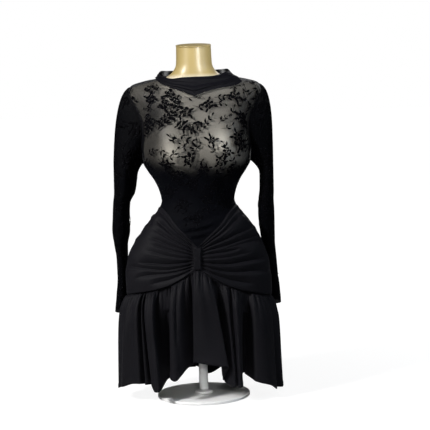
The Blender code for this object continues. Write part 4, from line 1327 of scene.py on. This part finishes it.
# %% Laying motifs on a surface
STATIONS = np.linspace(0, 1, 7)
INNER = len(STATIONS) - 2
FLOCK_HEIGHT, FLOCK_SINK = 0.0005, 0.0002
LEAF_POINT, PETAL_POINT = 0.85, 0.50


def pillow_faces():
    """The spine comes first, then the left edge, the right edge and the back. Each of the
    four strips runs from tip to tip, from the spine or the back line to one edge."""
    last = INNER + 1
    left, right, back = ([last + 1 + side * INNER + k for k in range(INNER)] for side in range(3))

    def strip(line, edge):
        made = [(0, line[0], edge[0]), (line[-1], last, edge[-1])]
        return made + [(line[k], line[k + 1], edge[k + 1], edge[k]) for k in range(INNER - 1)]

    spine = list(range(1, INNER + 1))
    turned = [face[::-1] for face in strip(spine, right) + strip(back, left)]
    return strip(spine, left) + turned + strip(back, right)


def pillows(rows):
    """Flat outlines of many leaves. A row is a start, a heading, a length, a width, a bend
    and a point: the half width is a sine to the power of the point, the bend an arc."""
    start, (heading, length, width, bend, point) = rows[:, :2], rows[:, 2:].T[..., None]
    arch = np.sin(math.pi * STATIONS)
    half = width / 2 * np.clip(arch, 1e-6, 1) ** point
    curve, along = bend * arch * length, STATIONS * length
    s = np.concatenate((along,) + 3 * (along[:, 1:-1],), axis=1)
    edges = [line[:, 1:-1] for line in (curve + half, curve - half, curve)]
    side = np.concatenate((curve, *edges), axis=1)
    cosine, sine = np.cos(heading), np.sin(heading)
    x = start[:, :1] + s * cosine - side * sine
    y = start[:, 1:] + s * sine + side * cosine
    height = np.full(x.shape, -FLOCK_SINK)
    height[:, 1:INNER + 1] = FLOCK_HEIGHT
    return np.stack((x, y, height), axis=-1)


def slopes(surface, u, v, steps):
    """How far a surface moves for a small step of u and of v, and its unit normal."""
    step_u, step_v = steps
    by_u = (surface(u + step_u, v) - surface(u - step_u, v)) / (2 * step_u)
    by_v = (surface(u, v + step_v) - surface(u, v - step_v)) / (2 * step_v)
    return by_u, by_v, unit(np.cross(by_u, by_v))


def folded(plain, relief, steps, outward=1):
    """A surface of u and v that is the plain one moved out along its normal by the folds."""
    def surface(u, v):
        normal = outward * slopes(plain, u, v, steps)[2]
        return plain(u, v) + normal * relief(u, v)[..., None]
    return surface


def lay(surface, u, v, flat, steps):
    """Puts flat outlines on a surface: each at its own u and v, its millimetres solved into
    steps of u and v by least squares on the surface's two slopes, its height along the normal."""
    by_u, by_v, normal = slopes(surface, u, v, steps)
    right = unit(by_u)
    up = np.cross(normal, right)
    slope_uu, slope_vu, slope_vv = (
        (slope * way).sum(-1)[:, None] for slope, way in ((by_u, right), (by_v, right), (by_v, up)))
    dv = flat[..., 1] / slope_vv
    all_u = u[:, None] + (flat[..., 0] - slope_vu * dv) / slope_uu
    all_v = v[:, None] + dv
    normal = slopes(surface, all_u, all_v, steps)[2]
    return surface(all_u, all_v) + normal * flat[..., 2:], all_u, all_v


print("a pillow has", len(pillow_faces()), "faces")

# %% [markdown]
# A rose is a bud, a ring of short petals and a ring of broad ones, each petal an arc round the
# middle, with a thread of bare net between them. A spray is a bowed stem with leaves in
# pairs that get smaller towards its tip, and one leaf at the end.

# %% Roses and sprays
STEM_WIDTH = 0.0012
ROSE_RINGS = ((3, 0.17, 0.34, 0.0, 0.25), (4, 0.47, 0.38, 0.5, 0.17), (6, 0.82, 0.46, 0.2, 0.14))


def rose(radius, turn, leaf, random):
    """Start points, headings, lengths, widths, bends and points of one rose's petals, about
    (0, 0), then of a few leaves that stick out from under it."""
    rows = []
    for count, ring, width, first, bend in ROSE_RINGS:
        step = TURN / count
        for k in range(count):
            middle = turn + (k + first) * step + random.uniform(-0.12, 0.12)
            size = ring * radius * random.uniform(0.94, 1.08)
            reach = 2 * size * math.tan(0.44 * step) if count > 3 else 2.2 * size
            heading = middle + math.pi / 2
            x = size * math.cos(middle) - reach / 2 * math.cos(heading)
            y = size * math.sin(middle) - reach / 2 * math.sin(heading)
            rows.append((x, y, heading, reach, width * radius, -bend, PETAL_POINT))
    for k in range(4):
        middle = turn + k * TURN / 4 + random.uniform(-0.5, 0.5)
        heading = middle + random.uniform(-0.5, 0.5)
        x, y = 0.92 * radius * math.cos(middle), 0.92 * radius * math.sin(middle)
        size = leaf * random.uniform(0.75, 1.1)
        rows.append((x, y, heading, size, 0.44 * size, 0.06, LEAF_POINT))
    return np.array(rows)


def spray(length, heading, curl, leaf, random):
    """The same for one spray: thin pillows for its stem, then its leaves in pairs."""
    count = max(2, int(length / (0.86 * leaf)))
    s = np.linspace(0, length, count + 1)
    turning = heading + curl * s / length
    steps = np.diff(s)[:, None] * np.stack((np.cos(turning[:-1]), np.sin(turning[:-1])), -1)
    path = np.concatenate((np.zeros((1, 2)), np.cumsum(steps, axis=0)))
    stem = (1.2 * length / count, STEM_WIDTH, 0.0, PETAL_POINT)
    rows = [(*path[k], turning[k], *stem) for k in range(count)]
    for k in range(1, count + 1):
        for side in ((-1, 1) if k < count else (0,)):
            lean = side * random.uniform(0.55, 0.95)
            size = leaf * (1.10 - 0.30 * k / count) * random.uniform(0.80, 1.10)
            width = size * random.uniform(0.36, 0.46)
            rows.append((*path[k], turning[k] + lean, size, width, side * 0.07, LEAF_POINT))
    return np.array(rows)


print("petals in a rose:", len(rose(0.012, 0.0, 0.012, np.random.default_rng(1))))

# %% [markdown]
# Tables place the motifs of the front one by one, in metres across and up: the large masses lie
# from the left shoulder down to the middle, the lighter sprays on the right. The sides, the
# back and the sleeves take the same motifs from a jittered grid, since the cloth repeats.

# %% Layout of the front
ROSES_FRONT = (
    (-0.066, 0.852, 0.0135), (-0.083, 0.822, 0.0125), (-0.052, 0.824, 0.014),
    (-0.026, 0.8, 0.0135), (-0.062, 0.793, 0.013), (-0.036, 0.764, 0.013), (-0.09, 0.775, 0.012),
    (0.038, 0.819, 0.012), (0.043, 0.722, 0.0095), (-0.012, 0.758, 0.0085), (-0.02, 0.672, 0.014),
    (-0.082, 0.66, 0.013), (0.083, 0.688, 0.012), (0.066, 0.664, 0.0125), (0.112, 0.842, 0.013),
    (0.128, 0.78, 0.013), (-0.122, 0.838, 0.012), (-0.13, 0.77, 0.013), (0.02, 0.64, 0.013),
    (-0.058, 0.63, 0.0135), (0.094, 0.632, 0.0125), (-0.012, 0.606, 0.013), (0.05, 0.598, 0.0125),
    (-0.074, 0.585, 0.012), (0.026, 0.56, 0.013), (-0.038, 0.548, 0.013), (0.074, 0.545, 0.012),
    (-0.004, 0.51, 0.012), (0.112, 0.73, 0.011),
)
SPRAYS_FRONT = (
    (-0.14, 0.848, 1.2, 0.04, 0.5), (-0.128, 0.862, 0.4, 0.03, 0.9),
    (-0.104, 0.85, 1.7, 0.028, 0.4), (-0.03, 0.842, -0.3, 0.03, 0.6),
    (-0.04, 0.858, 0.2, 0.03, -0.7), (-0.006, 0.818, -0.4, 0.036, 0.9),
    (0.052, 0.836, 0.2, 0.04, -0.7), (0.03, 0.832, 2.4, 0.026, 0.5),
    (0.05, 0.822, 0.1, 0.034, -0.8), (0.078, 0.846, -0.6, 0.036, 0.7),
    (0.094, 0.858, 0.5, 0.034, -0.6), (0.1, 0.812, 0.1, 0.038, 0.8),
    (-0.004, 0.786, -1.2, 0.03, 0.8), (-0.008, 0.742, 0.55, 0.075, 0.35),
    (-0.046, 0.748, -0.9, 0.06, 0.8), (0.006, 0.706, -2.2, 0.046, -0.9),
    (0.062, 0.764, 0.9, 0.04, -0.7), (0.068, 0.752, 0.1, 0.036, 0.7),
    (0.092, 0.784, 0.8, 0.034, 0.5), (-0.07, 0.745, -1.0, 0.036, 0.5),
    (-0.055, 0.71, 1.9, 0.03, 0.7), (-0.048, 0.7, 0.4, 0.03, -0.9),
    (-0.094, 0.712, -1.4, 0.04, 0.6), (-0.084, 0.69, -0.6, 0.034, 0.9),
    (-0.064, 0.672, 1.3, 0.034, -0.5), (-0.104, 0.676, -0.9, 0.04, 0.5),
    (-0.004, 0.69, 1.2, 0.03, 0.6), (0.0, 0.664, 0.1, 0.038, -0.9),
    (0.083, 0.692, 1.9, 0.026, 0.5), (0.098, 0.702, 0.9, 0.034, -0.6),
    (0.06, 0.684, 2.6, 0.026, -0.6), (0.1, 0.676, 0.2, 0.03, 0.7),
    (0.074, 0.648, -0.5, 0.04, 0.8), (-0.108, 0.806, 2.8, 0.036, 0.6),
    (-0.104, 0.756, 2.2, 0.034, 0.8), (0.126, 0.812, 1.0, 0.034, 0.6),
    (-0.05, 0.65, -1.2, 0.04, 0.8), (0.04, 0.624, 0.5, 0.044, 0.7),
    (-0.034, 0.59, 2.0, 0.04, 0.6), (0.01, 0.58, 0.8, 0.044, -0.8),
    (0.066, 0.575, -0.8, 0.036, 0.7), (-0.058, 0.56, -1.3, 0.04, 0.7),
    (0.0, 0.54, -0.6, 0.04, 0.9), (0.05, 0.53, 1.0, 0.036, -0.6), (-0.02, 0.53, -2.0, 0.036, 0.6),
    (0.13, 0.75, 1.4, 0.04, 0.5), (0.118, 0.7, 1.1, 0.034, 0.5), (-0.13, 0.73, 1.7, 0.04, 0.5),
)
LEAF = 0.0148
ROSE_SIZES, SPRAY_SIZES = (0.010, 0.0140), (0.030, 0.048)
print("front roses:", len(ROSES_FRONT), "sprays:", len(SPRAYS_FRONT))

# %% Scattering the rest
def motif_table(centres, random):
    """Petal rows for many motifs, with the place of each motif's centre."""
    rows, places = [], []
    for u, v, kind, size, heading, curl in centres:
        if kind == "rose":
            rows.append(rose(size, heading, LEAF, random))
        else:
            rows.append(spray(size, heading, curl, LEAF, random))
        places.append(np.tile((u, v), (len(rows[-1]), 1)))
    return np.concatenate(rows), np.concatenate(places)


def jittered(low_u, high_u, low_v, high_v, wide, tall, random):
    """A brick-like grid of motifs, each pushed about a little; every third is a rose."""
    rows, draw = [], random.uniform
    columns = int(round((high_u - low_u) / wide))
    for r, v in enumerate(np.arange(low_v, high_v, tall)):
        for c in range(columns):
            u = low_u + (c + 0.5 * (r % 2)) * wide + draw(-0.25, 0.25) * wide
            place = (u, v + draw(-0.25, 0.25) * tall)
            if (r + 2 * c) % 3 == 0:
                rows.append((*place, "rose", draw(*ROSE_SIZES), draw(0, TURN), 0.0))
            else:
                heading = draw(0, TURN)
                rows.append((*place, "spray", draw(*SPRAY_SIZES), heading, draw(-1, 1)))
    return rows


def joined(parts):
    """Several meshes as one: their points in a row, their faces renumbered."""
    points, faces, start = [], [], 0
    for some, corners in parts:
        points.append(some)
        faces += [tuple(start + c for c in face) for face in corners]
        start += len(some)
    return np.concatenate(points), faces


def carried(name, parts, material, partner):
    """One mesh of several parts that goes with a sheet: its flock, or the seams along it."""
    points, faces = joined(parts)
    made = mesh_object(name, points, faces, material)
    belongs(made)
    CARRIED.setdefault(partner, []).append(made)
    print(f"{name}: {len(faces)} faces")


def flock_piece(panel, surface, centres, random, inside, steps):
    """Lays the petals of all motifs, drops the ones that leave the panel, and joins the rest."""
    rows, places = motif_table(centres, random)
    points, all_u, all_v = lay(surface, *places.T, pillows(rows), steps)
    kept = points[inside(all_u, all_v).all(axis=1)]
    pillow = pillow_faces()
    carried(f"flock_{panel}", [(some, pillow) for some in kept], FLOCK, f"net_{panel}")


CARRIED = {}
print("scatter ready")

# %% [markdown]
# A point given across and up has to be turned into an angle and a way up. The ring's formula
# is solved for the angle: the inverse sine of the share of the half width to half the
# squareness. A motif is kept only where it lies inside the panel's own edges.

# %% Flock on the bodice
def angle_at(x, height):
    """The angle at which the ring at this height reaches x."""
    half, power = (np.interp(height, FIGURE[:, 0], FIGURE[:, c]) for c in (1, 4))
    return np.degrees(np.arcsin(np.clip(np.abs(x) / half, 0, 1) ** (power / 2))) * np.sign(x)


def bodice_inside(rear):
    """True where a point is clear of the neckline, the armhole, the side and the yoke."""
    middle = 180 if rear else 0

    def inside(angle, climb):
        off = np.abs(angle - middle)
        top = climb_at(neckline(angle - middle, rear)) - EDGE_CLEAR
        low = edge_climb(np.clip(off, 0, 90) + middle) + EDGE_CLEAR
        share = np.clip((climb - UNDERARM) / (SHOULDER_POINT - UNDERARM), 0, 1)
        bite = armhole_edge(share, rear)[0]
        return (climb < top) & (climb > low) & (off < 90 - SIDE_CLEAR - bite)
    return inside


def front_motifs():
    """The rows of both tables, each with its angle and its way up."""
    roses = [(x, z, "rose", size, 40 * x, 0.0) for x, z, size in ROSES_FRONT]
    sprays = [(x, z, "spray", length, heading, curl)
              for x, z, heading, length, curl in SPRAYS_FRONT]
    return [(float(angle_at(x, z)), float(climb_at(z)), *rest) for x, z, *rest in roses + sprays]


def flock_bodice(rear, centres, random):
    surface = folded(figure, lambda u, v: bodice_relief(u, v, rear), BODICE_STEPS)
    flock_piece("bodice_back" if rear else "bodice_front", surface, centres, random,
                bodice_inside(rear), BODICE_STEPS)


def scattered(low, high, layout, random):
    """Motifs between two angles, over a layout's heights and at its spacing across and up."""
    bottom, top, wide, tall = layout
    return jittered(low, high, climb_at(bottom), climb_at(top), wide, tall, random)


def make_bodice_flock():
    """The front by its tables, its sides and the whole back by a jittered grid."""
    random = np.random.default_rng(21)
    centres = front_motifs()
    centres += scattered(-88.0, -54.0, SIDE_LAYOUT, random)
    centres += scattered(54.0, 88.0, SIDE_LAYOUT, random)
    flock_bodice(False, centres, random)
    flock_bodice(True, scattered(92.0, 268.0, BACK_LAYOUT, random), random)


EDGE_CLEAR, SIDE_CLEAR = 0.001, 1.0
BODICE_STEPS = (0.05, 0.0005)
SIDE_LAYOUT, BACK_LAYOUT = (0.545, 0.860, 17.0, 0.030), (0.530, 0.885, 16.0, 0.034)
make_bodice_flock()

# %% Flock on the sleeves
SLEEVE_STEPS = (0.01, 0.002)
CUFF_CLEAR, CAP_CLEAR, JOIN_CLEAR = 1.985, 0.03, 0.004
CAP_LAYOUT, TUBE_LAYOUT = (-0.97, -0.06, TURN / 7, 0.150), (-1.97, -1.03, TURN / 6, 0.110)


def make_sleeve_flock(side, seed):
    """Motifs over a sleeve; the turn runs round it and the way runs down it."""
    random = np.random.default_rng(seed)
    surface = folded(lambda turn, way: sleeve_surface(side, turn, way),
                     lambda turn, way: sleeve_relief(side, turn, way), SLEEVE_STEPS, -side)

    def flipped(turn, way):
        return surface(side * turn, -way)

    def inside(turn, way):
        return (-way > CAP_CLEAR) & (-way < CUFF_CLEAR) & (np.abs(-way - 1) > JOIN_CLEAR)

    cap = jittered(0.0, TURN, *CAP_LAYOUT, random)
    tube = jittered(0.0, TURN, *TUBE_LAYOUT, random)
    flock_piece(f"sleeve_{SIDE_NAME[side]}", flipped, cap + tube, random, inside, SLEEVE_STEPS)


make_sleeve_flock(-1, 31)
make_sleeve_flock(1, 32)

# %% [markdown]
# ## Seams
# The panels are less than half a millimetre apart, as separate pieces have to be. On the real
# dress a sewn seam closes that line, so a thin bound ridge follows each one. A ridge is a
# ring of points carried along a path.

# %% Ridges along paths
SEAM_RADIUS, SIDE_RADIUS, TAPER = 0.0009, 0.00072, 0.05
RIDGE_SIDES = 8


def ridge(path, radius, closed):
    """Rings along one path; an open ridge tapers to its ends, which closes it."""
    along = unit(steps_along(path, 0, closed))
    guide = np.where(np.abs(along[:, 2:]) > 0.8, (0.0, 1.0, 0.0), (0.0, 0.0, 1.0))
    first = unit(np.cross(along, guide))
    second = np.cross(along, first)
    turn = np.linspace(0, TURN, RIDGE_SIDES, endpoint=False)[:, None]
    size = np.full((len(path), 1, 1), radius)
    if not closed:
        size[[0, -1]] = radius * TAPER
    ring = first[:, None] * np.cos(turn) + second[:, None] * np.sin(turn)
    points = (path[:, None] + ring * size).reshape(-1, 3)
    if closed:
        return points, (grid_faces(len(path) + 1, RIDGE_SIDES, True) % len(points)).tolist()
    last = len(points) - RIDGE_SIDES
    caps = [list(range(RIDGE_SIDES))[::-1], [last + k for k in range(RIDGE_SIDES)]]
    return points, grid_faces(len(path), RIDGE_SIDES, True).tolist() + caps


def up_the_sides(low, high, count):
    """A thin ridge up each side of the figure, between two ways up."""
    climb = np.linspace(low, high, count)
    return [ridge(figure(np.full(count, s * 90.0), climb), SIDE_RADIUS, False) for s in (-1, 1)]


def make_seams():
    full, turn = np.linspace(-180, 180, 361)[:-1], np.linspace(0, TURN, 121)[:-1]
    hip = ridge(figure(full, seam_climb(full) - SEAM / 4), SEAM_RADIUS, True)
    edge = ridge(figure(full, edge_climb(full)), SEAM_RADIUS, True)
    bodice = up_the_sides(edge_climb(90.0), UNDERARM, 60)
    bodice += up_the_sides(SHOULDER_POINT, climb_at(NECKLINE_BACK[-1, 1]), 40)
    bodice += [ridge(armhole(s, turn), SEAM_RADIUS, True) for s in (-1, 1)]
    yoke = up_the_sides(seam_climb(90.0), edge_climb(90.0), 90)
    carried("seam_hip", [hip], JERSEY, "jersey_yoke_front_left")
    carried("seam_yoke_edge", [edge], JERSEY, "jersey_yoke_front_right")
    carried("seam_bodice", bodice, JERSEY, "net_bodice_front")
    carried("seam_yoke_sides", yoke, JERSEY, "jersey_yoke_back")


make_seams()

# %% [markdown]
# ## The sheets
# Each cloth piece is a sheet that was cut flat. Its cut is what was measured when its grid was
# made, and the flock and the seams on it go with it. Below, each area is held between a share of
# its cut and the whole cut, and the sheets are counted.

# %% Sheets
LEAST_AREA = 0.31
for name, (made, cut, area, held, rests_on) in PIECES.items():
    whole = cut[0] * cut[1]
    area = min(max(area, LEAST_AREA * whole), whole)
print("sheets:", len(PIECES))

# %% [markdown]
# ## Floor and light
# The floor is plain and pale and runs out to the horizon, where it meets a white world. Black
# cloth needs a light from one side: the key stands high on the left and leaves the hollows of
# the folds black. A weak light in front and a bluish one on the right open the shadows a
# little, one behind rims the shoulders, and two narrow beams serve the neck and the stand. The
# world gives very little light of its own.

# %% Stage and lights
FLOOR_RADII = (0.5, 2.0, 20.0, 400.0)
FLOOR_COLUMNS, FLOOR_DROP = 64, 0.0003
NEAR_FLOOR, FAR_FLOOR = 0.35, 1.6
FLOOR_DIM, FLOOR_PAINT = (0.22, 0.22, 0.22, 1), (0.18, 0.18, 0.18, 1)
BEAM_BLUR, WORLD_LIGHT = 0.15, 0.05


def make_floor():
    """A disc. What the camera sees of it glows white away from the dress, and its bounced
    light is kept low, as black flags keep it low round a black dress in a studio."""
    finish = Finish("floor_paint", Roughness=0.9, Specular_IOR_Level=0.1, Emission_Strength=1.0)
    away = finish.node("VectorMath", {"operation": "LENGTH"}, {0: finish.place()}, "Value")
    glow = ((away - NEAR_FLOOR) * (1 / (FAR_FLOOR - NEAR_FLOOR))).clamped()
    finish.set(Base_Color=FLOOR_PAINT)
    finish.set(Emission_Color=finish.blend(glow, (0.90, 0.90, 0.90), (1.0, 1.0, 1.0)))
    dim = finish.node("BsdfDiffuse", {}, {"Color": FLOOR_DIM}, "BSDF")
    seen = finish.node("LightPath", {}, {}, "Is Camera Ray")
    shown = Signal(finish.tree, finish.shader.outputs["BSDF"])
    mixed = finish.node("MixShader", {}, {"Fac": seen, 1: dim, 2: shown}, "Shader")
    connect(finish.tree, finish.tree.nodes["Material Output"].inputs["Surface"], mixed)
    ring = np.linspace(0, TURN, FLOOR_COLUMNS, endpoint=False)
    radii = np.array(FLOOR_RADII)[:, None]
    points = np.stack(np.broadcast_arrays(
        radii * np.cos(ring), radii * np.sin(ring), -FLOOR_DROP), axis=-1)
    faces = grid_faces(*points.shape[:2], True)[:, ::-1].tolist() + [list(range(FLOOR_COLUMNS))]
    made = mesh_object("floor", points.reshape(-1, 3), faces, finish.material)


def make_lamp(name, kind, place, aim, power, **settings):
    """A lamp that looks at a point; the settings are the lamp's own."""
    data = bpy.data.lights.new(name, kind)
    for key, value in settings.items():
        setattr(data, key, value)
    data.energy = power
    set_up(name, data, place, (Vector(aim) - Vector(place)).to_track_quat("-Z", "Y"))


def make_light(name, place, aim, size, power, colour):
    make_lamp(name, "AREA", place, aim, power, shape="DISK", size=size, color=colour)


def make_spot(name, place, aim, cone, power):
    """A narrow beam with a soft edge, for one small area."""
    make_lamp(name, "SPOT", place, aim, power, spot_size=math.radians(cone), spot_blend=1.0,
              shadow_soft_size=BEAM_BLUR)


def make_world():
    """White where the camera sees it, and dimmer where it lights the dress."""
    world = bpy.data.worlds.new("studio")
    world.use_nodes = True
    bpy.context.scene.world = world
    tree = world.node_tree
    seen = tree.nodes.new("ShaderNodeLightPath").outputs["Is Camera Ray"]
    level = Signal(tree, seen) * (1 - WORLD_LIGHT) + WORLD_LIGHT
    connect(tree, tree.nodes["Background"].inputs["Strength"], level)
    connect(tree, tree.nodes["Background"].inputs["Color"], (1, 1, 1, 1))


WARM, BLUISH, WHITE = (1.0, 0.99, 0.97), (0.78, 0.88, 1.0), (1.0, 1.0, 1.0)
make_floor()
make_light("key", (-2.4, -1.9, 2.3), (0, 0, 0.6), 0.6, 160.0, WARM)
make_light("front", (0.0, -2.9, 2.9), (0, 0, 0.7), 0.8, 17.0, WARM)
make_light("fill", (2.6, -1.2, 1.7), (0, 0, 0.5), 0.8, 24.0, BLUISH)
make_light("back", (0.9, 2.6, 2.4), (0, 0, 0.6), 1.2, 16.0, WHITE)
make_spot("neck_spot", (1.5, -2.7, 1.4), (0, 0, 0.975), 4.6, 1130.0)
make_spot("foot_spot", (0.4, -2.6, 0.75), (0, 0, 0.015), 5.5, 240.0)
make_world()
bpy.context.scene.view_settings.view_transform = "Standard"
print("stage ready")

# %% Count the triangles
graph = bpy.context.evaluated_depsgraph_get()
counted = {}
for some in bpy.context.scene.objects:
    if some.type == "MESH" and some.name not in frame["nodes"] and some.name != "floor":
        mesh = some.evaluated_get(graph).to_mesh()
        mesh.calc_loop_triangles()
        counted[some.name] = len(mesh.loop_triangles)
print("triangles:", counted)
print("all triangles:", sum(counted.values()))
